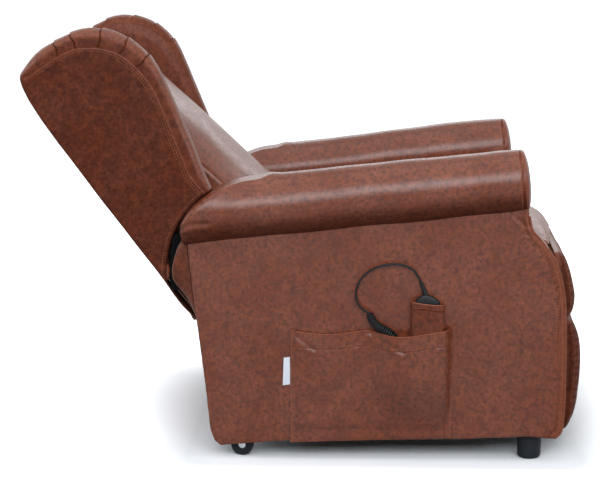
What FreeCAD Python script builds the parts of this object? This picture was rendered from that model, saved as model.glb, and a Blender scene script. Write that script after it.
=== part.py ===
import FreeCAD, Part
import math
import os

# A lift recliner chair at its real size in millimetres. The chair faces -Y, +Z is up, and the
# sitter's right side, which carries the pocket and the handset, is -X. Side-view places are given
# as (forward, height): forward is measured from a line just ahead of the rear wheels.

# Overall
CENTRE = 116.9  # forward distance of the middle of the chair's box, which is Y = 0
HALF_SEAT = 249.0  # half the width between the arms
PANEL_OUT = 343.0  # outer face of the upholstered side panels
PANEL_IN = 325.0
BOARD_OUT = 324.7  # plywood side boards behind them
BOARD_IN = 306.0
FIT = 0.3  # clearance between upholstered neighbours
RUN = 0.05  # radial clearance of a pin in its hole

# Arms
ROLL_RADIUS = 69.5
ROLL_OUT = 308.0  # distance of the roll's axis from the middle
ROLL_FRONT = (600.0, 619.5)
ROLL_REAR = (-150.0, 538.8)
ARM_REAR_RADIUS = 207.0  # the arm's rear end is round about the recline pivot

# Back, whose rear face leans 36.87 degrees at rest
PIVOT = (30.0, 411.0)
BACK_FOOT = (-158.0, 378.0)
WING_RADIUS = 214.0  # the wings' lower edge is round about the recline pivot
WING_IN = 241.0
WING_OUT = 309.0
WING_RIM = 275.0  # where the wing's rim stands furthest out
CUSHION_HALF = 227.0
CUSHION_FOOT_RADIUS = 134.0

# Floor frame
TUBE = 30.0
WALL = 2.0
FLOOR_TUBE_Z = 50.0
FRONT_TUBE_AT = 606.0
REAR_TUBE_AT = 12.0
RAIL_IN = 208.0
RAIL_OUT = 232.0
TUBE_END = 322.0
FOOT_AT = 617.0
FOOT_OUT = 298.0
FOOT_RADIUS = 27.0
WHEEL_AT = -18.0
WHEEL_RADIUS = 25.0
WHEEL_IN = 304.0
WHEEL_OUT = 319.0
AXLE_RADIUS = 4.0

# Lift linkage: a four-bar that lifts the rear and tips the seat forward
PLATE = 8.0
LIFT_PIVOT = (500.0, 100.0)
LIFT_HEAD = (250.0, 130.0)
STAY_PIVOT = (460.1, 133.6)
STAY_HEAD = (120.0, 190.0)
PLATE_IN = 232.0
ARM_WIDTH = 28.0
PIN_RADIUS = 6.0
LIFT_TUBE = (440.0, 106.0)
LIFT_LEVER = (425.4, 206.5)
LIFT_MOTOR = (60.0, 95.0)

# Carriage, the steel frame that carries the seat, the arms and the back
RAIL_Z = 215.0
RAIL_HEIGHT = 40.0
CARRIAGE_REAR = 90.0
CARRIAGE_FRONT = 590.0
REAR_TUBE_Z = 220.0
MIDDLE_TUBE_AT = 445.0
MIDDLE_TUBE_Z = 240.0
LOW_TUBE_AT = 550.0
LOW_TUBE_Z = 96.0
SEAT_RAIL_Z = 372.0
SPRING_Z = 404.2
WIRE = 1.9

# Leg rest
BOARD_BACK = 650.0
BOARD_THICK = 15.7
PAD_HALF = 240.0
LEG_PIVOT = (552.4, 248.7)
LEG_HEAD = (639.0, 440.0)
LEG_STAY_PIVOT = (597.3, 111.7)
LEG_STAY_HEAD = (631.0, 400.0)
LEG_TUBE = (582.7, 315.7)
LEG_LEVER = (532.4, 348.7)
LEG_MOTOR = (140.0, 235.0)

# Back drive
BACK_LEVER = (-28.0, 318.0)
BACK_MOTOR = (430.0, 255.0)

# Linear actuators
BARREL = 17.0
ROD = 9.0
LIFT_X = 0.0
BACK_X = 90.0
LEG_X = -90.0

# Side pocket, handset pouch and handset, on the right side panel
POCKET_REAR = 90.0
POCKET_SEAM = 225.0
POCKET_FRONT = 443.0
POCKET_LOW = 44.0
POCKET_TOP = 286.0
SKIN = 2.5
POCKET_FLAT = 351.0
POCKET_BULGE = [(351.0, 44.0), (356.0, 100.0), (374.5, 178.0), (377.2, 215.0), (377.2, 290.0)]
POUCH = (352.0, 424.0, 196.0, 362.0)
POUCH_OUT = 372.5
HANDSET = (362.0, 414.0, 198.8, 376.0)
HANDSET_IN = 347.5
HANDSET_OUT = 367.5
BUTTON_STAND = 1.6
BUTTON_RADIUS = 6.5
BUTTON_PLACES = [(376.0, 345.0), (400.0, 345.0), (376.0, 318.0), (400.0, 318.0)]

# Handset cable: where it leaves the handset, its loop, and where it meets its curly part
CABLE_DIAMETER = 5.0
CURL_DIAMETER = 17.0
CABLE_OUT = 357.5
CABLE_ROUTE = [
    (372.0, 404.0),
    (364.0, 423.0),
    (346.0, 438.0),
    (321.0, 443.0),
    (294.0, 441.0),
    (268.0, 432.0),
    (246.0, 414.0),
    (233.0, 389.0),
    (233.0, 362.0),
    (246.0, 342.0),
    (262.0, 334.0),
]
CURL_ROUTE = [
    (262.0, 334.0),
    (279.0, 325.5),
    (296.0, 308.0),
    (307.0, 284.0),
    (310.0, 254.0),
    (310.0, 226.0),
]


def place(x, forward, height):
    """Point of the chair from a sideways, a forward and an upward distance."""
    return FreeCAD.Vector(x, CENTRE - forward, height)


def back_point(up, out):
    """Side-view place from distances along the back's rear face and out from it."""
    return (BACK_FOOT[0] - 0.6 * up + 0.8 * out, BACK_FOOT[1] + 0.8 * up + 0.6 * out)


def on_circle(centre, radius, degrees):
    """Side-view place on a circle, at an angle from straight forward towards up."""
    turn = math.radians(degrees)
    return (centre[0] + radius * math.cos(turn), centre[1] + radius * math.sin(turn))


def straight(*points):
    """One stretch of an outline made of straight runs."""
    return ("straight", points)


def curve(*points):
    """One stretch of an outline that runs smoothly through its points."""
    return ("curve", points)


def arc(start, middle, end):
    """One stretch of an outline that is a circular arc."""
    return ("arc", (start, middle, end))


def outline(x, *stretches):
    """Closed side-view wire at a sideways distance, with gaps between stretches bridged straight."""
    edges = []
    last = None
    first = None
    for kind, points in stretches:
        at = [place(x, *p) for p in points]
        if last is not None and last.distanceToPoint(at[0]) > 1e-6:
            edges.append(Part.LineSegment(last, at[0]).toShape())
        if first is None:
            first = at[0]
        if kind == "curve":
            spline = Part.BSplineCurve()
            spline.interpolate(at)
            edges.append(spline.toShape())
        elif kind == "arc":
            edges.append(Part.Arc(*at).toShape())
        else:
            for a, b in zip(at, at[1:]):
                edges.append(Part.LineSegment(a, b).toShape())
        last = at[-1]
    if last.distanceToPoint(first) > 1e-6:
        edges.append(Part.LineSegment(last, first).toShape())
    return Part.Wire(edges)


def slab(x_from, x_to, *stretches):
    """Solid of one side-view outline between two sideways distances."""
    face = Part.Face(outline(x_from, *stretches))
    return face.extrude(FreeCAD.Vector(x_to - x_from, 0, 0))


def block(x_from, x_to, forward_from, forward_to, low, high):
    """Rectangular solid between two places."""
    corners = straight((forward_from, low), (forward_to, low), (forward_to, high), (forward_from, high))
    return slab(x_from, x_to, corners)


def rod(x_from, x_to, at, radius):
    """Round solid along X at a side-view place."""
    return Part.makeCylinder(radius, x_to - x_from, place(x_from, *at), FreeCAD.Vector(1, 0, 0))


def mirrored(shape):
    """The same piece on the chair's other side."""
    return shape.mirror(FreeCAD.Vector(0, 0, 0), FreeCAD.Vector(1, 0, 0))


def pair(shape):
    """A piece and its mirror image, as two solids of one node."""
    return Part.makeCompound([shape, mirrored(shape)])


def joined(shapes):
    """Several touching solids welded into one."""
    return shapes[0].multiFuse(shapes[1:]).removeSplitter()


def cross_tube(x_end, forward, low):
    """Square tube across the chair, open at its ends."""
    outer = block(-x_end, x_end, forward, forward + TUBE, low, low + TUBE)
    inner = block(-x_end, x_end, forward + WALL, forward + TUBE - WALL, low + WALL, low + TUBE - WALL)
    return outer.cut(inner)


def side_rail(x_in, x_out, forward_from, forward_to, low, height):
    """Rectangular tube along the chair, open at its ends."""
    outer = block(x_in, x_out, forward_from, forward_to, low, low + height)
    inner = block(x_in + WALL, x_out - WALL, forward_from, forward_to, low + WALL, low + height - WALL)
    return outer.cut(inner)


def link(x_in, x_out, start, end, width, start_hole=0.0, end_hole=0.0):
    """Flat bar with round ends between two pivots, with a hole at each that has one."""
    along = (end[0] - start[0], end[1] - start[1])
    length = math.hypot(*along)
    half = width / 2
    side = (-along[1] / length * half, along[0] / length * half)
    tip = (along[0] / length * half, along[1] / length * half)
    a = (start[0] + side[0], start[1] + side[1])
    b = (start[0] - tip[0], start[1] - tip[1])
    c = (start[0] - side[0], start[1] - side[1])
    d = (end[0] - side[0], end[1] - side[1])
    e = (end[0] + tip[0], end[1] + tip[1])
    f = (end[0] + side[0], end[1] + side[1])
    bar = slab(x_in, x_out, arc(a, b, c), arc(d, e, f))
    if start_hole:
        bar = bar.cut(rod(x_in - 1, x_out + 1, start, start_hole))
    if end_hole:
        bar = bar.cut(rod(x_in - 1, x_out + 1, end, end_hole))
    return bar


def toward(start, end, distance):
    """Side-view place a distance from start towards end."""
    length = math.hypot(end[0] - start[0], end[1] - start[1])
    share = distance / length
    return (start[0] + (end[0] - start[0]) * share, start[1] + (end[1] - start[1]) * share)


# Floor frame


def floor_side_rails():
    """Two rails that join the front and rear cross tubes."""
    return pair(side_rail(RAIL_IN, RAIL_OUT, REAR_TUBE_AT + TUBE, FRONT_TUBE_AT, FLOOR_TUBE_Z, TUBE))


def front_cross_tube():
    """Front tube, which stands on the two feet."""
    return cross_tube(TUBE_END, FRONT_TUBE_AT, FLOOR_TUBE_Z)


def rear_cross_tube():
    """Rear tube, which carries the wheels."""
    return cross_tube(TUBE_END, REAR_TUBE_AT, FLOOR_TUBE_Z)


def front_feet():
    """Two moulded feet, tapered a little and rounded at the floor."""
    foot = Part.makeCone(FOOT_RADIUS - 1.5, FOOT_RADIUS, FLOOR_TUBE_Z, place(FOOT_OUT, FOOT_AT, 0))
    edge = [e for e in foot.Edges if abs(e.CenterOfMass.z) < 1e-6]
    return pair(foot.makeFillet(8.0, edge))


def wheel_brackets():
    """Two plates that hang the wheel axles from the rear tube."""
    plate = slab(
        WHEEL_IN - 8,
        WHEEL_IN - 4,
        straight((REAR_TUBE_AT, 50), (REAR_TUBE_AT, 80), (-8, 78)),
        curve((-8, 78), (-26, 52), (-30, 25), (-18, 13)),
        straight((-18, 13), (-4, 16)),
    )
    return pair(plate.cut(rod(WHEEL_IN - 9, WHEEL_IN - 3, (WHEEL_AT, WHEEL_RADIUS), AXLE_RADIUS)))


def wheel_axles():
    """Two shoulder bolts that the wheels turn on, with a domed head outside."""
    at = (WHEEL_AT, WHEEL_RADIUS)
    shank = rod(WHEEL_IN - 12, WHEEL_OUT + 1, at, AXLE_RADIUS)
    head = rod(WHEEL_OUT + 0.5, WHEEL_OUT + 4.5, at, 8.0)
    outer_edge = [e for e in head.Edges if abs(e.CenterOfMass.x - WHEEL_OUT - 4.5) < 1e-6]
    nut = rod(WHEEL_IN - 14, WHEEL_IN - 8.2, at, 7.0)
    return pair(joined([shank, head.makeFillet(2.0, outer_edge), nut]))


def wheel(side):
    """Transport wheel with a rounded tread, a recessed web and a hub."""
    at = (WHEEL_AT, WHEEL_RADIUS)
    tyre = rod(WHEEL_IN, WHEEL_OUT, at, WHEEL_RADIUS)
    tyre = tyre.makeFillet(3.0, [e for e in tyre.Edges if e.Length > 150])
    recess = rod(WHEEL_OUT - 3, WHEEL_OUT, at, 19.0).cut(rod(WHEEL_OUT - 3, WHEEL_OUT, at, 10.0))
    turned = tyre.cut(recess).cut(rod(WHEEL_IN, WHEEL_OUT, at, AXLE_RADIUS + RUN))
    return turned if side > 0 else mirrored(turned)


def lift_pivot_ears():
    """Welded ears for both lift arms, and two for the foot of the lift actuator."""
    ear = slab(
        PLATE_IN,
        PLATE_IN + PLATE,
        straight((392, 54), (545, 54), (545, 80)),
        curve((545, 80), (522, 108), (500, 122), (484, 140), (466, 155), (446, 152)),
        straight((446, 152), (392, 80)),
    )
    for at in (LIFT_PIVOT, STAY_PIVOT):
        ear = ear.cut(rod(PLATE_IN - 1, PLATE_IN + PLATE + 1, at, PIN_RADIUS))
    tube_end = REAR_TUBE_AT + TUBE
    lug = link(LIFT_X + 8, LIFT_X + 14, LIFT_MOTOR, (tube_end, 68), 26, PIN_RADIUS)
    lug = lug.cut(block(-TUBE_END, TUBE_END, REAR_TUBE_AT, tube_end, 40, FLOOR_TUBE_Z + TUBE))
    return Part.makeCompound([ear, mirrored(ear), lug, mirrored(lug)])


def base_hinge_pins():
    """Pins fixed in the floor frame's ears."""
    front = rod(PLATE_IN - 12, PLATE_IN + PLATE, LIFT_PIVOT, PIN_RADIUS)
    rear = rod(PLATE_IN, PLATE_IN + PLATE + 12, STAY_PIVOT, PIN_RADIUS)
    motor = rod(LIFT_X - 16, LIFT_X + 16, LIFT_MOTOR, PIN_RADIUS)
    return Part.makeCompound([front, mirrored(front), rear, mirrored(rear), motor])


def control_box():
    """Plastic housing of the power supply, on the rear tube."""
    box = block(74, 210, -22, 112, 80, 122)
    upright = [e for e in box.Edges if abs(e.Vertexes[0].Z - e.Vertexes[-1].Z) > 10]
    return box.makeFillet(8.0, upright)


def power_inlet():
    """Recessed two-pin inlet on the control box, facing the rear."""
    body = block(128, 156, -34, -22, 90, 112)
    return body.cut(block(131, 153, -34, -25, 93, 109))


# Lift linkage


def front_lift_arms():
    """Two driven arms joined by a cross tube, with a lever for the actuator."""
    arm = link(
        PLATE_IN - 10, PLATE_IN - 2, LIFT_PIVOT, LIFT_HEAD, ARM_WIDTH, PIN_RADIUS + RUN, PIN_RADIUS + RUN
    )
    tube = rod(-(PLATE_IN - 10), PLATE_IN - 10, LIFT_TUBE, 13.0)
    tube = tube.cut(rod(-PLATE_IN, PLATE_IN, LIFT_TUBE, 10.5))
    plate = link(LIFT_X + 10, LIFT_X + 16, LIFT_LEVER, LIFT_TUBE, 32, PIN_RADIUS, 13.0)
    return Part.makeCompound([tube, arm, mirrored(arm), plate, mirrored(plate)])


def rear_lift_arms():
    """Two follower arms that keep the carriage's tilt."""
    start = PLATE_IN + PLATE + 2
    arm = link(start, start + PLATE, STAY_PIVOT, STAY_HEAD, 26, PIN_RADIUS + RUN, PIN_RADIUS + 3)
    return pair(arm)


# Carriage


def carriage_side_rails():
    """Two rails along the seat."""
    return pair(side_rail(RAIL_OUT, RAIL_OUT + 25, CARRIAGE_REAR + TUBE, CARRIAGE_FRONT, RAIL_Z, RAIL_HEIGHT))


def carriage_cross_tubes():
    """Tubes across the carriage with welded ears: at the rear, in the middle, and low at the front."""
    rear = cross_tube(BOARD_IN - FIT, CARRIAGE_REAR, REAR_TUBE_Z)
    middle = cross_tube(RAIL_OUT, MIDDLE_TUBE_AT, MIDDLE_TUBE_Z)
    front = cross_tube(BOARD_IN - FIT, LOW_TUBE_AT, LOW_TUBE_Z)
    back_motor = tube_ear(BACK_X + 8, BACK_MOTOR, MIDDLE_TUBE_AT, MIDDLE_TUBE_Z)
    leg_motor = tube_ear(LEG_X + 8, LEG_MOTOR, CARRIAGE_REAR, REAR_TUBE_Z)
    stay = tube_ear(214, LEG_STAY_PIVOT, LOW_TUBE_AT, LOW_TUBE_Z)
    across = FreeCAD.Vector(-22, 0, 0)
    ears = [back_motor, back_motor.translated(across), leg_motor, leg_motor.translated(across)]
    return Part.makeCompound([rear, middle, front, stay, mirrored(stay)] + ears)


def tube_ear(x, pivot, tube_at, tube_z):
    """Ear welded to a cross tube, which holds a pivot pin in front of it or behind it."""
    middle = (tube_at + TUBE / 2, tube_z + TUBE / 2)
    ear = link(x, x + 6, pivot, middle, 22, PIN_RADIUS)
    return ear.cut(block(x - 1, x + 7, tube_at, tube_at + TUBE, tube_z, tube_z + TUBE))


def carriage_pivot_plates():
    """Plates under the rails that the lift arms hold."""
    plate = slab(
        PLATE_IN,
        PLATE_IN + PLATE,
        straight((100, RAIL_Z), (310, RAIL_Z), (272, 128)),
        curve((272, 128), (262, 112), (248, 110), (234, 118)),
        straight((234, 118), (150, 162), (118, 170), (104, 182)),
    )
    for at in (LIFT_HEAD, STAY_HEAD):
        plate = plate.cut(rod(PLATE_IN - 1, PLATE_IN + PLATE + 1, at, PIN_RADIUS))
    return pair(plate)


def carriage_hinge_pins():
    """Pins fixed in the carriage: lift arms, leg rest arms, back hinge and motor feet."""
    lift = rod(PLATE_IN - 12, PLATE_IN + PLATE, LIFT_HEAD, PIN_RADIUS)
    leg = rod(221, RAIL_OUT, LEG_PIVOT, PIN_RADIUS)
    stay = rod(205, 220, LEG_STAY_PIVOT, PIN_RADIUS)
    back = rod(230.0, BOARD_IN, PIVOT, 8.0)
    one_side = [lift, leg, stay, back]
    motors = [
        rod(BACK_X - 16, BACK_X + 16, BACK_MOTOR, PIN_RADIUS),
        rod(LEG_X - 16, LEG_X + 16, LEG_MOTOR, PIN_RADIUS),
    ]
    return Part.makeCompound(one_side + [mirrored(p) for p in one_side] + motors)


def roll_solid(extra=0.0):
    """Round arm as a slanted cylinder whose rear end is round about the recline pivot."""
    start = place(ROLL_OUT, *ROLL_REAR)
    end = place(ROLL_OUT, *ROLL_FRONT)
    whole = Part.makeCylinder(ROLL_RADIUS + extra, (end - start).Length, start, end - start)
    reach = ARM_REAR_RADIUS + extra
    keep = slab(
        150,
        450,
        straight((700, 400), (700, 760), (75, 760), (75, 640 + extra)),
        curve((75, 640 + extra), (48, 630 + extra), (26, PIVOT[1] + reach + 1.5), on_circle(PIVOT, reach, 95)),
        arc(
            on_circle(PIVOT, reach, 95),
            on_circle(PIVOT, reach, 130),
            on_circle(PIVOT, reach, 165),
        ),
    )
    return whole.common(keep)


def arm_roll(side):
    """Padded arm roll with softened ends."""
    roll = roll_solid()
    front = [e for e in roll.Edges if e.BoundBox.YMax < place(0, 560, 0).y]
    roll = roll.makeFillet(8.0, front)
    return roll if side > 0 else mirrored(roll)


def side_panel(side):
    """Upholstered outer side panel."""
    panel = slab(
        PANEL_IN,
        PANEL_OUT,
        straight((-78, 40), (-65, 28), (90, 41), (441, 48), (615, 56)),
        straight((652, 53), (668, 54)),
        curve((668, 54), (682, 68), (687, 106), (688, 218), (686, 329), (681, 380), (671, 423), (656, 459)),
        curve((656, 459), (627, 497), (611, 516), (604, 546)),
        straight((604, 546), (600, 590), (-114, 500)),
        straight((-133, 482), (-132, 456), (-124, 379), (-111, 278), (-96, 155), (-87, 64)),
    )
    panel = panel.cut(roll_solid(FIT))
    return panel if side > 0 else mirrored(panel)


def side_board(side):
    """Plywood side of the chair, which carries the arm, the seat rails and the back hinge."""
    board = slab(
        BOARD_IN,
        BOARD_OUT,
        straight((-64, 86), (640, 86), (668, 112), (671, 218), (669, 326), (664, 374), (655, 415)),
        straight((641, 449), (610, 488), (586, 512), (580, 590), (-104, 495)),
        straight((-112, 455), (-102, 379), (-88, 278), (-71, 155)),
    )
    board = board.cut(roll_solid(FIT))
    return board if side > 0 else mirrored(board)


def arm_front_panels():
    """Upholstered facings that close the arms' fronts."""
    facing = slab(
        HALF_SEAT + 3,
        PANEL_IN - FIT,
        straight((664, 62), (676, 64)),
        curve((676, 64), (686, 106), (687, 218), (685, 329), (680, 380), (670, 423), (655, 459)),
        curve((655, 459), (626, 497), (610, 516), (603, 546)),
        straight((603, 546), (600, 580), (590, 580), (592, 543)),
        curve((592, 543), (599, 510), (617, 489), (645, 452)),
        curve((645, 452), (659, 419), (668, 378), (673, 328), (675, 218), (674, 106), (664, 90)),
    )
    return pair(facing.cut(roll_solid(FIT)))


def arm_inner_panels():
    """Upholstered panels between the seat and the arm rolls."""
    panel = slab(
        HALF_SEAT + 1,
        HALF_SEAT + 13,
        straight((-84, 404), (640, 404), (636, 449), (602, 488), (580, 530), (576, 590), (-84, 520)),
    )
    panel = panel.cut(rod(HALF_SEAT, HALF_SEAT + 14, PIVOT, 9.0))
    return pair(panel.cut(roll_solid(FIT)))


def seat_rails():
    """Front and rear timber rails between the side boards, for the seat springs."""
    front = block(-(BOARD_IN - FIT), BOARD_IN - FIT, 560, 586, SEAT_RAIL_Z, SEAT_RAIL_Z + 30)
    rear = block(-(BOARD_IN - FIT), BOARD_IN - FIT, 176, 202, SEAT_RAIL_Z, SEAT_RAIL_Z + 30)
    return Part.makeCompound([front, rear])


def zigzag(start, along, across, pitch, swing, turns):
    """Sinuous spring: straight crossings joined by half circles, in one plane."""
    edges = []
    radius = pitch / 2
    at = start
    sign = 1
    for turn in range(turns):
        end = at + across * (swing * sign)
        edges.append(Part.LineSegment(at, end).toShape())
        if turn < turns - 1:
            middle = end + along * radius + across * (radius * sign)
            after = end + along * pitch
            edges.append(Part.Arc(end, middle, after).toShape())
            at = after
            sign = -sign
    section = Part.Wire([Part.makeCircle(WIRE, start, across)])
    return Part.Wire(edges).makePipeShell([section], True, False)


def seat_springs():
    """Five sinuous springs between the seat rails."""
    springs = []
    for number in range(5):
        start = place(-190 + 90 * number, 190, SPRING_Z)
        springs.append(zigzag(start, FreeCAD.Vector(0, -1, 0), FreeCAD.Vector(1, 0, 0), 22, 20, 18))
    return Part.makeCompound(springs)


SEAT_CREST = [(161, 517), (250, 520), (400, 521), (540, 519), (600, 515), (632, 508), (655, 497)]
SEAT_CREST_END = [(655, 497), (669, 483), (677, 471)]
SEAT_SIDE = [(161, 487), (250, 488), (400, 488), (540, 487), (600, 484), (632, 478.5), (648, 474)]
SEAT_SIDE_END = [(648, 474), (655, 471.5), (660, 468.4)]


def between(first, last, share):
    """Places on the way from one list of side-view places to another."""
    return [(a + (c - a) * share, b + (d - b) * share) for (a, b), (c, d) in zip(first, last)]


def crowned(half, section):
    """Padded solid across the chair that is full in the middle and falls away to its sides."""
    wires = [section(half * place_at, place_at**2) for place_at in (-1.0, -0.85, -0.5, 0.0, 0.5, 0.85, 1.0)]
    return Part.makeLoft(wires, True, False)


def seat_section(x, share):
    """Outline of the seat cushion at one depth; share 0 is its middle and 1 its side."""
    front = between(SEAT_CREST_END, SEAT_SIDE_END, share)
    return outline(
        x,
        curve(*between(SEAT_CREST, SEAT_SIDE, share)),
        curve(*front),
        straight(front[-1], (625, 463), (560, 410), (172, 410), (168, 440), (160, 482)),
    )


def seat_cushion():
    """Crowned seat cushion with a rounded front and a slanted rear end."""
    return crowned(HALF_SEAT, seat_section)


def rear_skirt():
    """Covered board across the chair's back, under the reclining back."""
    half = BOARD_IN - FIT
    return slab(-half, half, straight((-64, 62), (-80, 62), (-93, 155), (-105, 262), (-91, 262), (-77, 155)))


def side_pocket():
    """Leather side pocket: flat behind its vertical seam, and bulging where it holds the handset."""
    flat = block(PANEL_OUT + FIT, POCKET_FLAT, POCKET_REAR, POCKET_SEAM, POCKET_LOW, POCKET_TOP - 3)
    flat_room = block(
        PANEL_OUT + FIT, POCKET_FLAT - SKIN, POCKET_REAR + SKIN, POCKET_SEAM - SKIN, POCKET_LOW + SKIN, 400
    )
    bulge = pocket_bulge(0.0)
    room = pocket_bulge(SKIN)
    return mirrored(joined([flat.cut(flat_room), bulge.cut(room)]))


def pocket_bulge(inset):
    """Room of the pocket's bulging front part, or with no inset its outside."""
    inner = PANEL_OUT + FIT
    low = POCKET_LOW + inset
    top = POCKET_BULGE[-1][1] + inset
    points = [(inner, top), (inner, low)]
    points += [(x - inset, max(z, low)) for x, z in POCKET_BULGE[:-1]]
    points += [(POCKET_BULGE[-1][0] - inset, top)]
    start = POCKET_SEAM + inset
    end = POCKET_FRONT - inset
    wire = Part.makePolygon([place(x, start, z) for x, z in points + points[:1]])
    return Part.Face(wire).extrude(FreeCAD.Vector(0, start - end, 0))


def handset_pouch():
    """Open-topped pouch that stands in the pocket and holds the handset."""
    rear, front, low, top = POUCH
    inner = PANEL_OUT + 1.0
    outside = block(inner, POUCH_OUT, rear, front, low, top)
    outside = outside.makeFillet(10.0, [e for e in outside.Edges if upright_outer(e, POUCH_OUT)])
    room = block(inner + SKIN, POUCH_OUT - SKIN, rear + SKIN, front - SKIN, low + SKIN, top + 1)
    room = room.makeFillet(8.0, [e for e in room.Edges if upright_outer(e, POUCH_OUT - SKIN)])
    return mirrored(outside.cut(room))


def upright_outer(edge, x):
    """Whether an edge stands upright at a sideways distance."""
    ends = [v.Point for v in edge.Vertexes]
    return abs(ends[0].x - x) < 1e-6 and abs(ends[0].z - ends[-1].z) > 10


def cord_grommet():
    """Cable entry on the side panel, inside the pocket, where the cable goes into the chair."""
    at, top = CURL_ROUTE[-1]
    body = block(PANEL_OUT + FIT, CABLE_OUT + 9, at - 11, at + 11, top - 22, top)
    upright = [e for e in body.Edges if upright_outer(e, CABLE_OUT + 9)]
    return mirrored(body.makeFillet(4.0, upright))


# Reclining back


def back_outline(*points):
    """Straight stretch given in the back's own directions."""
    return straight(*[back_point(up, out) for up, out in points])


def back_bar(x_from, x_to, up_from, up_to, out_from, out_to):
    """Rectangular member given in the back's own directions."""
    corners = back_outline((up_from, out_from), (up_to, out_from), (up_to, out_to), (up_from, out_to))
    return slab(x_from, x_to, corners)


def back_frame_rails():
    """Frame of the back: two side rails and three cross rails."""
    side = back_bar(203, 231.2, -40, 548, 12, 42)
    bars = [back_bar(-202.7, 202.7, up, up + 30, 12, 42) for up in (-36, 250, 512)]
    return Part.makeCompound([side, mirrored(side)] + bars)


def back_springs():
    """Five sinuous springs across the back frame."""
    along_back = FreeCAD.Vector(0, 0.6, 0.8)
    springs = []
    for number in range(5):
        start = place(-205, *back_point(60 + 90 * number, 44.3))
        springs.append(zigzag(start, FreeCAD.Vector(1, 0, 0), along_back, 22, 18, 19))
    return Part.makeCompound(springs)


BACK_CREST = [(565, 100), (556, 146), (530, 180), (440, 204), (350, 219), (259, 238), (150, 257), (59, 274)]
BACK_SIDE = [(565, 86), (556, 118), (530, 138), (440, 158), (350, 171), (259, 184), (150, 203), (59, 224)]
BACK_SIDE_FOOT = [(75.6, 483.2), (112.0, 462.0), (140.0, 434.0)]


def back_section(x, share):
    """Outline of the back cushion at one depth; share 0 is its middle and 1 its side."""
    front = [back_point(up, out) for up, out in between(BACK_CREST, BACK_SIDE, share)]
    full_foot = [on_circle(PIVOT, CUSHION_FOOT_RADIUS, degrees) for degrees in (50, 30, 12)]
    foot = between(full_foot, BACK_SIDE_FOOT, share)
    return outline(
        x,
        straight(back_point(-20, 50), back_point(545, 50), front[0]),
        curve(*front, foot[0]),
        arc(*foot),
        straight(foot[-1], (60, 384)),
    )


def back_cushion():
    """Crowned back cushion, deepest at the small of the back, with its foot round about the pivot."""
    return crowned(CUSHION_HALF, back_section)


WING_SEAM_LINE = [
    (560, 10.3),
    (558, 40),
    (555, 98),
    (545, 140),
    (528, 166),
    (507, 189),
    (477, 209),
    (438, 219.6),
    (387, 221.8),
    (328, 211),
    (261, 192),
    (215, 180),
    (177, 170.4),
]
WING_RIM_LINE = [
    (575, 10.3),
    (586, 60),
    (584, 125),
    (573, 172),
    (552, 203),
    (520, 231),
    (482, 248),
    (438, 257),
    (380, 251),
    (322, 238),
    (261, 223),
    (215, 211),
    (172, 198),
]


def wing_section(x, share):
    """Outline of a wing at one depth; share 0 is the seam line and 1 the rim's furthest line."""
    line = []
    for (seam_up, seam_out), (rim_up, rim_out) in zip(WING_SEAM_LINE, WING_RIM_LINE):
        line.append(
            back_point(seam_up + (rim_up - seam_up) * share, seam_out + (rim_out - seam_out) * share)
        )
    tip = on_circle(PIVOT, WING_RADIUS, 125.5 - 3.5 * share)
    heel = on_circle(PIVOT, WING_RADIUS, 174.9)
    middle = on_circle(PIVOT, WING_RADIUS, 150)
    return outline(x, curve(*line, tip), arc(tip, middle, heel))


def wing(side):
    """Padded wing of the back with a full rounded rim."""
    radius = WING_OUT - WING_RIM
    sections = []
    for x in (WING_IN, 246.0, 258.0, WING_RIM, 292.0, 304.0, WING_OUT):
        inset = radius - math.sqrt(max(radius**2 - (x - WING_RIM) ** 2, 0.0))
        sections.append(wing_section(x, 1.0 - inset / radius))
    body = Part.makeLoft(sections, True, True)
    return body if side > 0 else mirrored(body)


def back_panel():
    """Upholstered rear panel of the back, with the tail that hangs below it."""
    panel = back_bar(-300, 300, 44, 560, 0, 10)
    inner = back_bar(-240, 240, -6, 44, 0, 10)
    tail = slab(-240, 240, back_outline((-6, 0), (-6, 6), (-76, -2), (-76, -8)))
    return joined([panel, inner, tail])


def back_hinge_plates():
    """Hinge plates on the frame's side rails, and the lever that the back's motor pushes."""
    rim = back_point(0, 14)
    plate = slab(
        231.5,
        237.5,
        straight(rim, back_point(110, 14), back_point(110, 40)),
        curve(back_point(110, 40), back_point(10, 120), on_circle(PIVOT, 24, 80)),
        arc(on_circle(PIVOT, 24, 80), on_circle(PIVOT, 24, 0), on_circle(PIVOT, 24, -80)),
    )
    plate = plate.cut(rod(230, 239, PIVOT, 8.0 + RUN))
    lever = link(BACK_X + 10, BACK_X + 16, BACK_LEVER, back_point(-37, 40), 26, PIN_RADIUS)
    lever = lever.cut(back_bar(0, 200, -36, -6, 12, 42))
    other = lever.translated(FreeCAD.Vector(-26, 0, 0))
    return Part.makeCompound([plate, mirrored(plate), lever, other])


# Leg rest


def legrest_drive_arms():
    """Two driven arms joined by a cross tube, with a lever for the actuator."""
    arm = link(222, 228, LEG_PIVOT, LEG_HEAD, 20, PIN_RADIUS + RUN, PIN_RADIUS + RUN)
    tube = rod(-222, 222, LEG_TUBE, 11.0)
    tube = tube.cut(rod(-230, 230, LEG_TUBE, 9.0))
    lever = link(LEG_X + 10, LEG_X + 16, LEG_LEVER, LEG_TUBE, 28, PIN_RADIUS, 11.0)
    other = lever.translated(FreeCAD.Vector(-26, 0, 0))
    return Part.makeCompound([tube, arm, mirrored(arm), lever, other])


def legrest_stay_arms():
    """Two follower arms that turn the leg rest as it rises."""
    return pair(link(206, 212, LEG_STAY_PIVOT, LEG_STAY_HEAD, 18, PIN_RADIUS + RUN, PIN_RADIUS + RUN))


def legrest_board():
    """Plywood board of the leg rest."""
    return block(-232, 232, BOARD_BACK, BOARD_BACK + BOARD_THICK, 46, 438)


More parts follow.
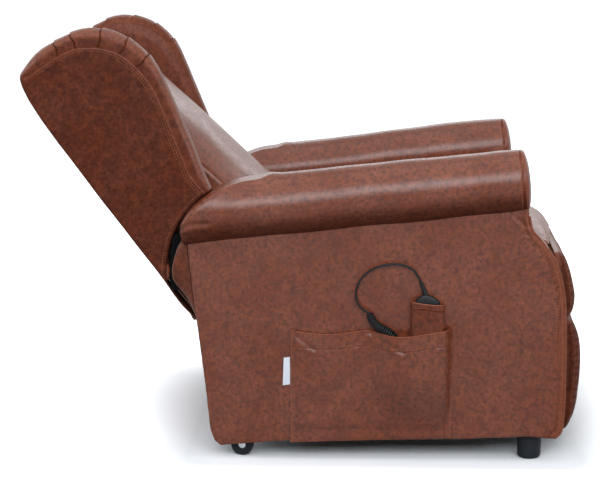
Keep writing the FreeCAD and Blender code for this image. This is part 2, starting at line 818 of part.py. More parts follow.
def legrest_upper_pad():
    """Upper pad of the leg rest."""
    back = BOARD_BACK + BOARD_THICK + FIT
    return slab(
        -PAD_HALF,
        PAD_HALF,
        straight((back, 297), (back, 450), (680, 451)),
        curve((680, 451), (690, 442), (700, 420), (709, 389), (713, 351), (714, 322), (706, 300)),
    )


def legrest_lower_pad():
    """Lower pad of the leg rest."""
    back = BOARD_BACK + BOARD_THICK + FIT
    return slab(
        -PAD_HALF,
        PAD_HALF,
        straight((back, 40), (back, 294), (706, 294)),
        curve((706, 294), (722, 270), (727, 230), (728, 180), (725, 125), (712, 68), (696, 42)),
    )


def legrest_brackets():
    """Brackets on the board's rear face, with the pins of the driven arms."""
    plate = slab(
        214,
        220,
        straight((BOARD_BACK, 350), (BOARD_BACK, 448), (642, 452)),
        curve((642, 452), (630, 450), (627, 438), (630, 424)),
        straight((630, 424), (620, 400), (626, 388)),
    )
    plate = plate.cut(rod(213, 221, LEG_STAY_HEAD, PIN_RADIUS + 2))
    pin = rod(216, 231, LEG_HEAD, PIN_RADIUS)
    return pair(joined([plate, pin]))


# Linear actuators


def actuator_body(foot, head, x, motor_side):
    """Actuator casing: foot eye, gearbox, motor beside it, and the barrel that the rod slides in."""
    length = math.hypot(head[0] - foot[0], head[1] - foot[1])
    eye = link(x - 6, x + 6, foot, toward(foot, head, 40), 22, PIN_RADIUS + RUN)
    gearbox_ends = (toward(foot, head, 46), toward(foot, head, 84))
    reach = 40 * motor_side
    gearbox = link(min(x - 20, x - 20 + reach), max(x + 20, x + 20 + reach), *gearbox_ends, 46)
    axis = place(0, *toward((0, 0), (head[0] - foot[0], head[1] - foot[1]), 1)) - place(0, 0, 0)
    start = place(x, *toward(foot, head, 60))
    barrel = Part.makeCylinder(BARREL, length - 60 - 46, start, axis)
    bore = Part.makeCylinder(ROD + 0.6, length, place(x, *toward(foot, head, 112)), axis)
    motor_at = place(x + 38 * motor_side, *toward(foot, head, 70))
    motor = Part.makeCylinder(20, 110, motor_at, axis)
    return joined([eye, gearbox, motor, barrel.cut(bore)]).cut(bore)


def actuator_rod(foot, head, x):
    """Actuator rod with its eye."""
    length = math.hypot(head[0] - foot[0], head[1] - foot[1])
    axis = place(0, *toward((0, 0), (head[0] - foot[0], head[1] - foot[1]), 1)) - place(0, 0, 0)
    shaft = Part.makeCylinder(ROD, length - 122 - 15, place(x, *toward(foot, head, 122)), axis)
    eye = link(x - 6, x + 6, head, toward(head, foot, 20), 22, PIN_RADIUS + 2)
    return joined([shaft, eye])


# Handset


def handset_shell():
    """Hand control with rounded edges, and wells for its four buttons."""
    rear, front, low, top = HANDSET
    body = block(HANDSET_IN, HANDSET_OUT, rear, front, low, top)
    upright = [e for e in body.Edges if abs(e.Vertexes[0].Z - e.Vertexes[-1].Z) > 10]
    body = body.makeFillet(6.0, upright)
    for at in BUTTON_PLACES:
        body = body.cut(rod(HANDSET_OUT - 4, HANDSET_OUT + 1, at, BUTTON_RADIUS + 0.3))
    return mirrored(body)


def handset_button(number):
    """One push button of the handset, with its travel behind it."""
    button = rod(HANDSET_OUT - 2.4, HANDSET_OUT + BUTTON_STAND, BUTTON_PLACES[number], BUTTON_RADIUS)
    outer = [e for e in button.Edges if abs(e.CenterOfMass.x - HANDSET_OUT - BUTTON_STAND) < 1e-6]
    return mirrored(button.makeFillet(0.8, outer))


def cable_strain_relief():
    """Tapered strain relief on the handset's top."""
    start = place(CABLE_OUT, 384.0, HANDSET[3])
    end = place(CABLE_OUT, *CABLE_ROUTE[0])
    cone = Part.makeCone(5.5, 3.4, (end - start).Length - FIT, start, end - start)
    return mirrored(cone.cut(block(330, 390, 350, 420, 300, HANDSET[3])))


def routed_tube(points, radius):
    """Round tube along straight runs joined by the largest tangent arcs that the runs allow."""
    edges = []
    radii = []
    last = points[0]
    for before, at, after in zip(points, points[1:], points[2:]):
        back = before - at
        ahead = after - at
        half_turn = (math.pi - back.getAngle(ahead)) / 2
        setback = 0.45 * min(back.Length, ahead.Length)
        radii.append(setback / math.tan(half_turn))
        to_middle = (back.normalize() + ahead.normalize()).normalize()
        centre_away = radii[-1] / math.cos(half_turn)
        start = at + back * setback
        end = at + ahead * setback
        middle = at + to_middle * (centre_away - radii[-1])
        edges.append(Part.LineSegment(last, start).toShape())
        edges.append(Part.Arc(start, middle, end).toShape())
        last = end
    edges.append(Part.LineSegment(last, points[-1]).toShape())
    path = Part.Wire(edges)
    section = Part.Wire([Part.makeCircle(radius, points[0], points[1] - points[0])])
    tube = path.makePipeShell([section], True, False)
    expected = math.pi * radius**2 * path.Length
    print("bend radii mm", [round(r, 1) for r in radii], "length mm", round(path.Length, 1))
    print("volume against section times length", round(tube.Volume / expected, 4))
    return tube


def handset_cable():
    """Smooth part of the handset's cable, looped beside the side panel."""
    points = [place(-CABLE_OUT, *p) for p in CABLE_ROUTE]
    return routed_tube(points, CABLE_DIAMETER / 2)


def curly_cable():
    """Outer shape of the cable's curly part, which drops into the pocket."""
    points = [place(-CABLE_OUT, *p) for p in CURL_ROUTE]
    return routed_tube(points, CURL_DIAMETER / 2)


def actuators():
    """The three actuators, each as a casing and a rod."""
    made = {}
    settings = {
        "lift": (LIFT_MOTOR, LIFT_LEVER, LIFT_X, -1),
        "back": (BACK_MOTOR, BACK_LEVER, BACK_X, 1),
        "legrest": (LEG_MOTOR, LEG_LEVER, LEG_X, -1),
    }
    for name, (foot, head, x, motor_side) in settings.items():
        made[name + "_actuator_body"] = actuator_body(foot, head, x, motor_side)
        made[name + "_actuator_rod"] = actuator_rod(foot, head, x)
    return made


def chair():
    """Every piece of the chair by name."""
    pieces = {
        "floor_side_rails": floor_side_rails(),
        "front_cross_tube": front_cross_tube(),
        "rear_cross_tube": rear_cross_tube(),
        "front_feet": front_feet(),
        "wheel_brackets": wheel_brackets(),
        "wheel_axles": wheel_axles(),
        "wheel_right": wheel(-1),
        "wheel_left": wheel(1),
        "lift_pivot_ears": lift_pivot_ears(),
        "base_hinge_pins": base_hinge_pins(),
        "control_box": control_box(),
        "power_inlet": power_inlet(),
        "front_lift_arms": front_lift_arms(),
        "rear_lift_arms": rear_lift_arms(),
        "carriage_side_rails": carriage_side_rails(),
        "carriage_cross_tubes": carriage_cross_tubes(),
        "carriage_pivot_plates": carriage_pivot_plates(),
        "carriage_hinge_pins": carriage_hinge_pins(),
        "side_board_right": side_board(-1),
        "side_board_left": side_board(1),
        "side_panel_right": side_panel(-1),
        "side_panel_left": side_panel(1),
        "arm_roll_right": arm_roll(-1),
        "arm_roll_left": arm_roll(1),
        "arm_front_panels": arm_front_panels(),
        "arm_inner_panels": arm_inner_panels(),
        "seat_rails": seat_rails(),
        "seat_springs": seat_springs(),
        "seat_cushion": seat_cushion(),
        "rear_skirt": rear_skirt(),
        "side_pocket": side_pocket(),
        "handset_pouch": handset_pouch(),
        "cord_grommet": cord_grommet(),
        "back_frame_rails": back_frame_rails(),
        "back_springs": back_springs(),
        "back_cushion": back_cushion(),
        "wing_right": wing(-1),
        "wing_left": wing(1),
        "back_panel": back_panel(),
        "back_hinge_plates": back_hinge_plates(),
        "legrest_drive_arms": legrest_drive_arms(),
        "legrest_stay_arms": legrest_stay_arms(),
        "legrest_board": legrest_board(),
        "legrest_upper_pad": legrest_upper_pad(),
        "legrest_lower_pad": legrest_lower_pad(),
        "legrest_brackets": legrest_brackets(),
        "handset_shell": handset_shell(),
        "cable_strain_relief": cable_strain_relief(),
        "handset_cable": handset_cable(),
        "curly_cable": curly_cable(),
    }
    pieces.update(actuators())
    for number, name in enumerate(("back_up", "back_down", "lift_up", "lift_down")):
        pieces["button_" + name] = handset_button(number)
    return pieces


os.makedirs("parts", exist_ok=True)
for piece_name, piece in chair().items():
    piece.exportStep("parts/" + piece_name + ".step")
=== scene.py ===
"""Lift recliner chair in antiqued brown leather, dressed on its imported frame.

The chair faces -Y and +Z is up. The sitter's right side, with the pocket and the handset, is -X.
Sizes are in millimetres as (forward, height) in side view, like the frame's source, and are turned
to metres where a mesh is made.
"""

import logging
import math
from collections.abc import Callable, Sequence
from dataclasses import dataclass
from enum import Enum

import bpy
import numpy as np
from mathutils import Matrix, Vector, noise
from mathutils.bvhtree import BVHTree

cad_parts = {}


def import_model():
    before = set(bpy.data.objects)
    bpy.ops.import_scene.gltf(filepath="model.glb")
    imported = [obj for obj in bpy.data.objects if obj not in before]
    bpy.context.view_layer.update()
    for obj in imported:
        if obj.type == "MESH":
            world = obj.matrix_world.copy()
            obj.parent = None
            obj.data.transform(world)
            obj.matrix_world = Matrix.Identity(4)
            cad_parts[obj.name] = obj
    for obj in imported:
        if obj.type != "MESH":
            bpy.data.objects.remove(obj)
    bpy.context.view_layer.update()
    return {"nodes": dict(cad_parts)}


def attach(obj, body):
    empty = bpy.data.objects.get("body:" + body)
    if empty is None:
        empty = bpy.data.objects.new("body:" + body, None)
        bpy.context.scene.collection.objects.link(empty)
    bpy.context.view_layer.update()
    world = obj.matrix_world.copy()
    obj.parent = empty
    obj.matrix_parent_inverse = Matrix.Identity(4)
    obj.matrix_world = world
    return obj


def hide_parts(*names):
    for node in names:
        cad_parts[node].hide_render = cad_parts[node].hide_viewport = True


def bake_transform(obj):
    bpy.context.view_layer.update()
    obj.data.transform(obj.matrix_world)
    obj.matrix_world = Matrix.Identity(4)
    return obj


LOG = logging.getLogger("lift_recliner")
MM = 0.001
CENTRE = 116.9  # forward place that lies at the origin
PIVOT = (30.0, 411.0)  # axis that the back reclines about
BACK_FOOT = (-158.0, 378.0)  # lower end of the back's straight rear face
COS_LEAN, SIN_LEAN = 0.8, 0.6  # how far that face leans from upright
HANDSET_SIDE = -357.5  # middle of the hand control and of its cable
OUTSIDE = 420.0  # sideways, clear of everything on the chair
ON_TOP = 0.0002  # height of a row of stitches above the leather, in metres

Piece = bpy.types.Object
Material = bpy.types.Material
Tree = bpy.types.NodeTree
Socket = bpy.types.NodeSocket
Colour = tuple[float, float, float, float]
Spot = tuple[float, float]
Spots = tuple[Spot, ...]
Line = Sequence[Sequence[float]]
Rows = np.ndarray


# Places


def place(x: float, forward: float, height: float) -> Vector:
    """Point of the chair, in metres, from millimetres sideways, forward and up."""
    return Vector((x, CENTRE - forward, height)) * MM


def back_point(up: float, out: float) -> Spot:
    """Side-view place from distances along the back's rear face and out from it."""
    forward = BACK_FOOT[0] - SIN_LEAN * up + COS_LEAN * out
    return (forward, BACK_FOOT[1] + COS_LEAN * up + SIN_LEAN * out)


def on_circle(centre: Sequence[float], radius: float, degrees: float) -> Spot:
    """Side-view place on a circle, at an angle from straight forward towards up."""
    turn = math.radians(degrees)
    return (centre[0] + radius * math.cos(turn), centre[1] + radius * math.sin(turn))


def smooth_line(points: Line, spacing: float) -> Rows:
    """Evenly spaced places on a smooth line.

    Args:
        points: Places that the line runs through.
        spacing: Distance between the places made, in the same unit.

    Returns:
        One row for each place.
    """
    given = np.array(points, float)
    held = np.vstack([2 * given[0] - given[1], given, 2 * given[-1] - given[-2]])
    fine = []
    for a, b, c, d in zip(held, held[1:], held[2:], held[3:]):
        for t in np.linspace(0, 1, 10, endpoint=False):
            square, cube = (2 * a - 5 * b + 4 * c - d) * t * t, (3 * b - 3 * c + d - a) * t**3
            fine.append(0.5 * (2 * b + (c - a) * t + square + cube))
    fine = np.array(fine + [given[-1]])
    along = np.r_[0, np.cumsum(np.linalg.norm(np.diff(fine, axis=0), axis=1))]
    at = np.linspace(0, along[-1], max(3, round(along[-1] / spacing) + 1))
    return np.stack([np.interp(at, along, fine[:, k]) for k in range(fine.shape[1])], -1)


def off_line(places: Rows, line: Rows) -> tuple[Rows, Rows]:
    """How far places lie from a line, and how far along it.

    Args:
        places: One row for each place.
        line: The line's corners, one row each.

    Returns:
        The distances from the line and the lengths along it, in the unit given.
    """
    nearest = np.full(len(places), np.inf)
    along = np.zeros(len(places))
    run = 0.0
    for a, b in zip(line, line[1:]):
        step = b - a
        length = float(np.linalg.norm(step))
        share = np.clip((places - a) @ step / length**2, 0, 1)
        far = np.linalg.norm(places - a - share[:, None] * step, axis=1)
        closer = far < nearest
        nearest[closer] = far[closer]
        along[closer] = run + share[closer] * length
        run += length
    return nearest, along


def bell(distance: Rows, width: float) -> Rows:
    """Smooth bump that is 1 at no distance and fades over the width."""
    return np.exp(-((distance / width) ** 2))


def ramp(value: Rows, start: float, end: float) -> Rows:
    """Smooth step from 0 at start to 1 at end."""
    t = np.clip((value - start) / (end - start), 0, 1)
    return t * t * (3 - 2 * t)


# Finishes


def linear(colour: str) -> Colour:
    """Linear colour of an sRGB hex value such as #7b4b3c.

    Args:
        colour: The hex value.

    Returns:
        Red, green, blue and alpha.
    """
    parts = [int(colour[i : i + 2], 16) / 255 for i in (1, 3, 5)]
    red, green, blue = [p / 12.92 if p <= 0.04045 else ((p + 0.055) / 1.055) ** 2.4 for p in parts]
    return (red, green, blue, 1.0)


def add_node(
    tree: Tree, kind: str, settings: dict | None = None, links: dict | None = None
) -> bpy.types.ShaderNode:
    """Adds one node to a material.

    Args:
        tree: The material's nodes.
        kind: The node's type, without its ShaderNode prefix.
        settings: Values of its inputs, by name or number, or of its own properties.
        links: Output sockets that its inputs are joined to, by name or number.

    Returns:
        The new node.
    """
    node = tree.nodes.new("ShaderNode" + kind)
    for key, value in (settings or {}).items():
        if isinstance(key, int) or key in node.inputs:
            node.inputs[key].default_value = value
        else:
            setattr(node, key, value)
    for key, socket in (links or {}).items():
        tree.links.new(socket, node.inputs[key])
    return node


def new_material(name: str) -> tuple[Material, Tree, Socket]:
    """Starts a material that has no shader yet.

    Args:
        name: The material's name.

    Returns:
        The material, its nodes, and its Object coordinates in metres.
    """
    material = bpy.data.materials.new(name)
    material.use_nodes = True
    tree = material.node_tree
    tree.nodes.clear()
    return material, tree, add_node(tree, "TexCoord").outputs["Object"]


def finish_with(tree: Tree, settings: dict, links: dict) -> None:
    """Adds the surface shader and joins it to the material's output."""
    shader = add_node(tree, "BsdfPrincipled", settings, links)
    add_node(tree, "OutputMaterial", links={"Surface": shader.outputs[0]})


def grains(tree: Tree, where: Socket, size_mm: float, detail: float = 2.0) -> Socket:
    """Value of a cloudy noise whose lumps are about size_mm across."""
    settings = {"Scale": 1000 / size_mm / 2, "Detail": detail, "Roughness": 0.6}
    return add_node(tree, "TexNoise", settings, {"Vector": where}).outputs["Fac"]


def mixed(tree: Tree, share: Socket, first: Socket | Colour, second: Colour) -> Socket:
    """Colour between two, by a share of the second.

    Args:
        tree: The material's nodes.
        share: Share of the second colour.
        first: Colour at share 0.
        second: Colour at share 1.

    Returns:
        The mixed colour.
    """
    settings, links = {}, {}
    for key, value in (("Fac", share), ("Color1", first), ("Color2", second)):
        (links if isinstance(value, Socket) else settings)[key] = value
    return add_node(tree, "MixRGB", settings, links).outputs[0]


def spread(
    tree: Tree, value: Socket, low: float, high: float, to_low: float, to_high: float
) -> Socket:
    """A value stretched from one range to another and held inside it."""
    settings = {"From Min": low, "From Max": high, "To Min": to_low, "To Max": to_high}
    return add_node(tree, "MapRange", settings, {"Value": value}).outputs[0]


def worked_out(tree: Tree, settings: dict, links: dict) -> Socket:
    """A number worked out from others."""
    return add_node(tree, "Math", settings, links).outputs[0]


def attribute(tree: Tree, name: str) -> Socket:
    """A piece's own painted value, 0 where it has none."""
    return add_node(tree, "Attribute", {"attribute_name": name}).outputs["Fac"]


def relief(
    tree: Tree, height: Socket, depth_mm: float, strength: float, below: Socket | None = None
) -> Socket:
    """Bump of a height pattern, on top of another bump if one is given.

    Args:
        tree: The material's nodes.
        height: The pattern's value, 0 to 1.
        depth_mm: Its depth.
        strength: How much of it shows.
        below: Bump that it lies on.

    Returns:
        The bumped normal.
    """
    links = {"Height": height} | ({"Normal": below} if below else {})
    settings = {"Strength": strength, "Distance": depth_mm * MM}
    return add_node(tree, "Bump", settings, links).outputs[0]


def plain_rays(tree: Tree) -> Socket:
    """One for rays that show the white background: from the camera, a gloss or through glass.

    Args:
        tree: Nodes of the floor or the surroundings.

    Returns:
        1 for such rays, or else 0.
    """
    path = add_node(tree, "LightPath")
    plain = path.outputs["Is Camera Ray"]
    for kind in ("Is Glossy Ray", "Is Transmission Ray"):
        plain = worked_out(tree, {"operation": "MAXIMUM"}, {0: plain, 1: path.outputs[kind]})
    return plain


@dataclass(frozen=True)
class PullUpLeather:
    """Waxed, antiqued cowhide: cloudy browns, a fine pebble and a soft waxy shine.

    The wax goes lighter and more orange where the hide is stretched over an edge; the painted value
    wear says where. The painted values seam and shade are painted shade: seam darkens seams,
    grooves and pleat creases, and shade darkens undersides, inner faces and pieces that hang back.
    Both also dull the shine there.
    """

    name: str = "antiqued_pull_up_leather"
    # dark is the hide's darkest tone, and also the colour of painted shade
    dark: str = "#32150f"
    hide: str = "#7b3f29"
    light: str = "#874a34"
    rust: str = "#823e20"
    # seam is the colour of painted shade in seams, grooves and pleat creases
    seam: str = "#2a110b"
    patch_mm: float = 62.0
    cloud_mm: float = 12.0
    pebble_mm: float = 3.0
    slack_mm: float = 34.0
    roughness: Spot = (0.24, 0.33)

    def material(self) -> Material:
        """The leather's nodes; its 1.5 mm pebble is drawn at 3 mm so that it shows.

        Returns:
            The material.
        """
        material, tree, where = new_material(self.name)
        patches = grains(tree, where, self.patch_mm, 4.0)
        clouds = grains(tree, where, self.cloud_mm, 5.0)
        flecks = grains(tree, where, self.pebble_mm * 1.4, 3.0)
        settings = {"feature": "DISTANCE_TO_EDGE", "Scale": 1000 / self.pebble_mm}
        cells = add_node(tree, "TexVoronoi", settings, {"Vector": where}).outputs["Distance"]
        creased = spread(tree, cells, 0.0, 0.16, 0.4, 0.0)
        # Painted shade: the painted value shade darkens the colour, with more contrast where the
        # clouds are
        shade = attribute(tree, "shade")
        clouded = spread(tree, clouds, 0.3, 0.7, 0.7, 1.3)
        shaded = worked_out(tree, {"operation": "MULTIPLY"}, {0: shade, 1: clouded})
        seam = attribute(tree, "seam")
        colour = linear(self.hide)
        for pattern, none, full, most, over in (
            (patches, 0.38, 0.64, 1.0, self.light),
            (patches, 0.54, 0.34, 0.5, self.rust),
            (clouds, 0.42, 0.72, 0.32, self.dark),
            (clouds, 0.46, 0.28, 0.15, self.rust),
            (flecks, 0.42, 0.75, 0.78, self.dark),
        ):
            colour = mixed(tree, spread(tree, pattern, none, full, 0.0, most), colour, linear(over))
        # The grain's creases go dark and wear turns the colour rust; shade and seam darken it as
        # painted shade
        for share, over in (
            (creased, self.dark),
            (shaded, self.dark),
            (attribute(tree, "wear"), self.rust),
            (seam, self.seam),
        ):
            colour = mixed(tree, share, colour, linear(over))
        polish = spread(tree, clouds, 0.3, 0.7, *self.roughness)
        # Where painted shade is, the leather also shines less and is rougher
        shade_and_seam = worked_out(tree, {"operation": "ADD"}, {0: shade, 1: seam})
        dull = worked_out(tree, {"operation": "MULTIPLY_ADD", 1: 0.6}, {0: shade_and_seam, 2: polish})
        pebble = relief(tree, spread(tree, cells, 0.0, 0.22, 0.0, 1.0), 0.11, 0.35)
        uneven = relief(tree, clouds, 0.35, 0.18, pebble)
        slack = relief(tree, grains(tree, where, self.slack_mm), 2.0, 0.3, uneven)
        shine = spread(tree, shade_and_seam, 0.0, 0.5, 0.33, 0.05)
        links = {"Base Color": colour, "Specular IOR Level": shine, "Roughness": dull}
        finish_with(tree, {"IOR": 1.5}, links | {"Normal": slack})
        return material


@dataclass(frozen=True)
class RawLeatherEdge:
    """Cut edge of vegetable filler and fibre: pale, dry and a little ragged."""

    name: str = "raw_leather_edge"
    colour: str = "#8d6b5b"
    dark: str = "#5a3427"
    fibre_mm: float = 1.5

    def material(self) -> Material:
        """The cut edge's nodes.

        Returns:
            The material.
        """
        material, tree, where = new_material(self.name)
        fibres = grains(tree, where, self.fibre_mm, 3.0)
        colour = mixed(tree, fibres, linear(self.colour), linear(self.dark))
        bump = relief(tree, fibres, 0.15, 0.6)
        finish_with(tree, {"Roughness": 0.8}, {"Base Color": colour, "Normal": bump})
        return material


@dataclass(frozen=True)
class BondedThread:
    """Bonded polyester upholstery thread, spun and slightly waxy."""

    name: str = "bonded_thread"
    colour: str = "#b06b40"
    dark: str = "#7c4527"
    twist_mm: float = 1.6

    def material(self) -> Material:
        """The thread's nodes: its 0.5 mm twist is drawn at about 1.6 mm so that it shows.

        Returns:
            The material.
        """
        material, tree, where = new_material(self.name)
        settings = {"Scale": 1000 / (3.15 * self.twist_mm), "Distortion": 1.0}
        twist = add_node(tree, "TexWave", settings, {"Vector": where}).outputs["Fac"]
        colour = mixed(tree, twist, linear(self.colour), linear(self.dark))
        links = {"Base Color": colour, "Normal": relief(tree, twist, 0.1, 0.5)}
        finish_with(tree, {"Roughness": 0.55, "Sheen Weight": 0.2}, links)
        return material


@dataclass(frozen=True)
class Moulded:
    """Injection-moulded plastic or rubber with a fine spark-eroded grain."""

    name: str
    colour: str
    lighter: str
    roughness: float
    grain_mm: float = 0.7
    depth_mm: float = 0.05
    handled_mm: float = 18.0

    def material(self) -> Material:
        """The moulding's nodes: grain, and a faint unevenness from handling.

        Returns:
            The material.
        """
        material, tree, where = new_material(self.name)
        grain = grains(tree, where, self.grain_mm, 2.0)
        handled = grains(tree, where, self.handled_mm, 3.0)
        greyed = spread(tree, handled, 0.4, 0.7, 0.0, 0.6)
        colour = mixed(tree, greyed, linear(self.colour), linear(self.lighter))
        rough = spread(tree, handled, 0.3, 0.7, self.roughness - 0.06, self.roughness + 0.06)
        bump = relief(tree, grain, self.depth_mm, 0.5)
        links = {"Base Color": colour, "Roughness": rough, "Normal": bump}
        finish_with(tree, {"Specular IOR Level": 0.22}, links)
        return material


@dataclass(frozen=True)
class PowderCoat:
    """Black polyester powder coat on welded steel: satin, with a faint orange peel and dust."""

    name: str = "black_powder_coat"
    colour: str = "#1d1f22"
    dusty: str = "#3b3c3e"
    peel_mm: float = 1.6
    dust_mm: float = 45.0

    def material(self) -> Material:
        """The coat's nodes.

        Returns:
            The material.
        """
        material, tree, where = new_material(self.name)
        dust = grains(tree, where, self.dust_mm, 4.0)
        share = spread(tree, dust, 0.45, 0.8, 0.0, 0.5)
        colour = mixed(tree, share, linear(self.colour), linear(self.dusty))
        rough = spread(tree, dust, 0.3, 0.8, 0.38, 0.6)
        bump = relief(tree, grains(tree, where, self.peel_mm, 1.0), 0.04, 0.5)
        finish_with(tree, {}, {"Base Color": colour, "Roughness": rough, "Normal": bump})
        return material


@dataclass(frozen=True)
class PlatedSteel:
    """Plated or drawn steel: metal with fine lines from drawing and a few dull patches."""

    name: str
    colour: str
    roughness: float
    dulled: str = "#77787a"
    line_mm: float = 0.8
    patch_mm: float = 12.0

    def material(self) -> Material:
        """The metal's nodes; its lines run across X, round the pins and rods.

        Returns:
            The material.
        """
        material, tree, where = new_material(self.name)
        squeezed = add_node(tree, "Mapping", {"Scale": (0.15, 1.0, 1.0)}, {"Vector": where})
        lines = grains(tree, squeezed.outputs[0], self.line_mm, 3.0)
        dull = grains(tree, where, self.patch_mm, 3.0)
        share = spread(tree, dull, 0.4, 0.8, 0.0, 0.5)
        colour = mixed(tree, share, linear(self.colour), linear(self.dulled))
        rough = spread(tree, dull, 0.3, 0.7, self.roughness - 0.05, self.roughness + 0.12)
        links = {"Base Color": colour, "Roughness": rough, "Normal": relief(tree, lines, 0.02, 0.4)}
        finish_with(tree, {"Metallic": 1.0}, links)
        return material


@dataclass(frozen=True)
class BirchPly:
    """Sanded birch: long pale grain with darker growth lines."""

    name: str = "birch_plywood"
    pale: str = "#c8a878"
    dark: str = "#a17d4f"
    pore: str = "#7a5a35"
    grain_mm: float = 5.0
    pore_mm: float = 0.9

    def material(self) -> Material:
        """The board's nodes; the grain runs along Y and is about 5 mm wide.

        Returns:
            The material.
        """
        material, tree, where = new_material(self.name)
        drawn = add_node(tree, "Mapping", {"Scale": (1.0, 0.08, 1.0)}, {"Vector": where}).outputs[0]
        grain = grains(tree, drawn, self.grain_mm, 5.0)
        pores = grains(tree, drawn, self.pore_mm, 2.0)
        grown = spread(tree, grain, 0.35, 0.7, 0.0, 1.0)
        colour = mixed(tree, grown, linear(self.pale), linear(self.dark))
        colour = mixed(tree, spread(tree, pores, 0.5, 0.8, 0.0, 0.4), colour, linear(self.pore))
        links = {"Base Color": colour, "Normal": relief(tree, pores, 0.08, 0.5)}
        finish_with(tree, {"Roughness": 0.6}, links)
        return material


@dataclass(frozen=True)
class CottonTape:
    """White woven label tape, plain weave with threads about 0.5 mm apart."""

    name: str = "white_cotton_tape"
    colour: str = "#e6e8ee"
    shaded: str = "#cfd4de"
    weave_mm: float = 1.2

    def material(self) -> Material:
        """The tape's nodes: the weave is drawn at 1.2 mm so that it shows.

        Returns:
            The material.
        """
        material, tree, where = new_material(self.name)
        settings = {"Color1": linear(self.colour), "Color2": linear(self.shaded)}
        settings["Scale"] = 1000 / self.weave_mm
        weave = add_node(tree, "TexChecker", settings, {"Vector": where})
        bump = relief(tree, weave.outputs["Fac"], 0.08, 0.6)
        links = {"Base Color": weave.outputs["Color"], "Normal": bump}
        finish_with(tree, {"Roughness": 0.8, "Sheen Weight": 0.3}, links)
        return material


@dataclass(frozen=True)
class Cambric:
    """Black spun-bonded lining cloth: matt, with a pressed dot pattern about 1.5 mm apart."""

    name: str = "black_lining_cloth"
    colour: str = "#0a0a0b"
    between: str = "#161618"
    dot_mm: float = 1.5

    def material(self) -> Material:
        """The lining's nodes.

        Returns:
            The material.
        """
        material, tree, where = new_material(self.name)
        settings = {"Scale": 1000 / self.dot_mm}
        dots = add_node(tree, "TexVoronoi", settings, {"Vector": where}).outputs["Distance"]
        colour = mixed(tree, dots, linear(self.colour), linear(self.between))
        links = {"Base Color": colour, "Normal": relief(tree, dots, 0.1, 0.5)}
        finish_with(tree, {"Roughness": 1.0, "Specular IOR Level": 0.1}, links)
        return material


@dataclass(frozen=True)
class StudioFloor:
    """Seamless white paper that keeps the chair's shadow.

    The paper shows brighter away from the chair's feet, from near to far over the fade, so that it
    is plain white there; round the feet it shows dimmer, a painted shadow that darkens the chair's
    shadow there. Its bounce is what the chair gets back from it.
    """

    name: str = "studio_paper"
    colour: str = "#fafbfc"
    shaded: str = "#eef0f3"
    # Painted shadow: near is the dim gain that the paper shows round the chair's feet
    near: str = "#282828"
    far: str = "#ffffff"
    bounce: str = "#58585a"
    cloud_mm: float = 300.0
    feet_middle: tuple[float, float, float] = (0.0, -0.178, 0.0)
    feet_reach: tuple[float, float, float] = (0.345, 0.395, 0.0)
    fade: Spot = (0.04, 0.24)

    def material(self) -> Material:
        """The paper's nodes.

        Returns:
            The material.
        """
        material, tree, where = new_material(self.name)
        clouds = grains(tree, where, self.cloud_mm)
        paper = mixed(tree, clouds, linear(self.colour), linear(self.shaded))
        seen = add_node(tree, "BsdfDiffuse", links={"Color": paper})
        beyond = where
        for operation, settings in (
            ("SUBTRACT", {1: self.feet_middle}),
            ("ABSOLUTE", {}),
            ("SUBTRACT", {1: self.feet_reach}),
            ("MAXIMUM", {1: (0, 0, 0)}),
        ):
            settings = {"operation": operation} | settings
            beyond = add_node(tree, "VectorMath", settings, {0: beyond}).outputs[0]
        away = add_node(tree, "VectorMath", {"operation": "LENGTH"}, {0: beyond}).outputs["Value"]
        # Painted shadow: within the fade round the feet the camera sees the paper dimmer
        share = spread(tree, away, *self.fade, 0.0, 1.0)
        gain = mixed(tree, share, linear(self.near), linear(self.far))
        bright = add_node(tree, "BsdfDiffuse", links={"Color": gain})
        both = add_node(tree, "AddShader", links={0: seen.outputs[0], 1: bright.outputs[0]})
        dim = add_node(tree, "BsdfDiffuse", {"Color": linear(self.bounce)})
        links = {0: plain_rays(tree), 1: dim.outputs[0], 2: seen.outputs[0]}
        lower = add_node(tree, "MixShader", links=links)
        camera = add_node(tree, "LightPath").outputs["Is Camera Ray"]
        links = {0: camera, 1: lower.outputs[0], 2: both.outputs[0]}
        floor = add_node(tree, "MixShader", links=links)
        add_node(tree, "OutputMaterial", links={"Surface": floor.outputs[0]})
        return material


class Finish(Enum):
    """The chair's finishes."""

    LEATHER = PullUpLeather()
    EDGE = RawLeatherEdge()
    THREAD = BondedThread()
    HANDSET = Moulded("black_moulded_abs", "#0d0f12", "#191c20", 0.46)
    BUTTON = Moulded("grey_moulded_abs", "#5f666d", "#747b82", 0.45)
    CASING = Moulded("dark_casing_plastic", "#1b1d20", "#2c2f33", 0.5)
    FOOT = Moulded("black_foot_rubber", "#13161a", "#20242a", 0.58, 1.0, 0.08)
    JACKET = Moulded("cable_jacket", "#0a0b0d", "#17191c", 0.46, 0.6, 0.03)
    TYRE = Moulded("grey_black_tyre", "#141619", "#26292d", 0.6, 0.9, 0.08)
    COAT = PowderCoat()
    ZINC = PlatedSteel("zinc_plated_steel", "#b9bcbf", 0.32)
    CHROME = PlatedSteel("chromed_rod", "#d2d5d8", 0.16)
    SPRING = PlatedSteel("phosphated_spring_wire", "#5b5d60", 0.42)
    PLY = BirchPly()
    TAPE = CottonTape()
    LINING = Cambric()
    PAPER = StudioFloor()


MADE: dict[Finish, Material] = {}


def dress(piece: Piece, finish: Finish) -> Piece:
    """Gives a piece one finish all over.

    Args:
        piece: The piece.
        finish: Its finish.

    Returns:
        The same piece.
    """
    if finish not in MADE:
        MADE[finish] = finish.value.material()
    piece.data.materials.clear()
    piece.data.materials.append(MADE[finish])
    return piece


# Meshes


def deselect() -> None:
    """Deselects everything, since an operator acts on all that is selected."""
    bpy.ops.object.select_all(action="DESELECT")


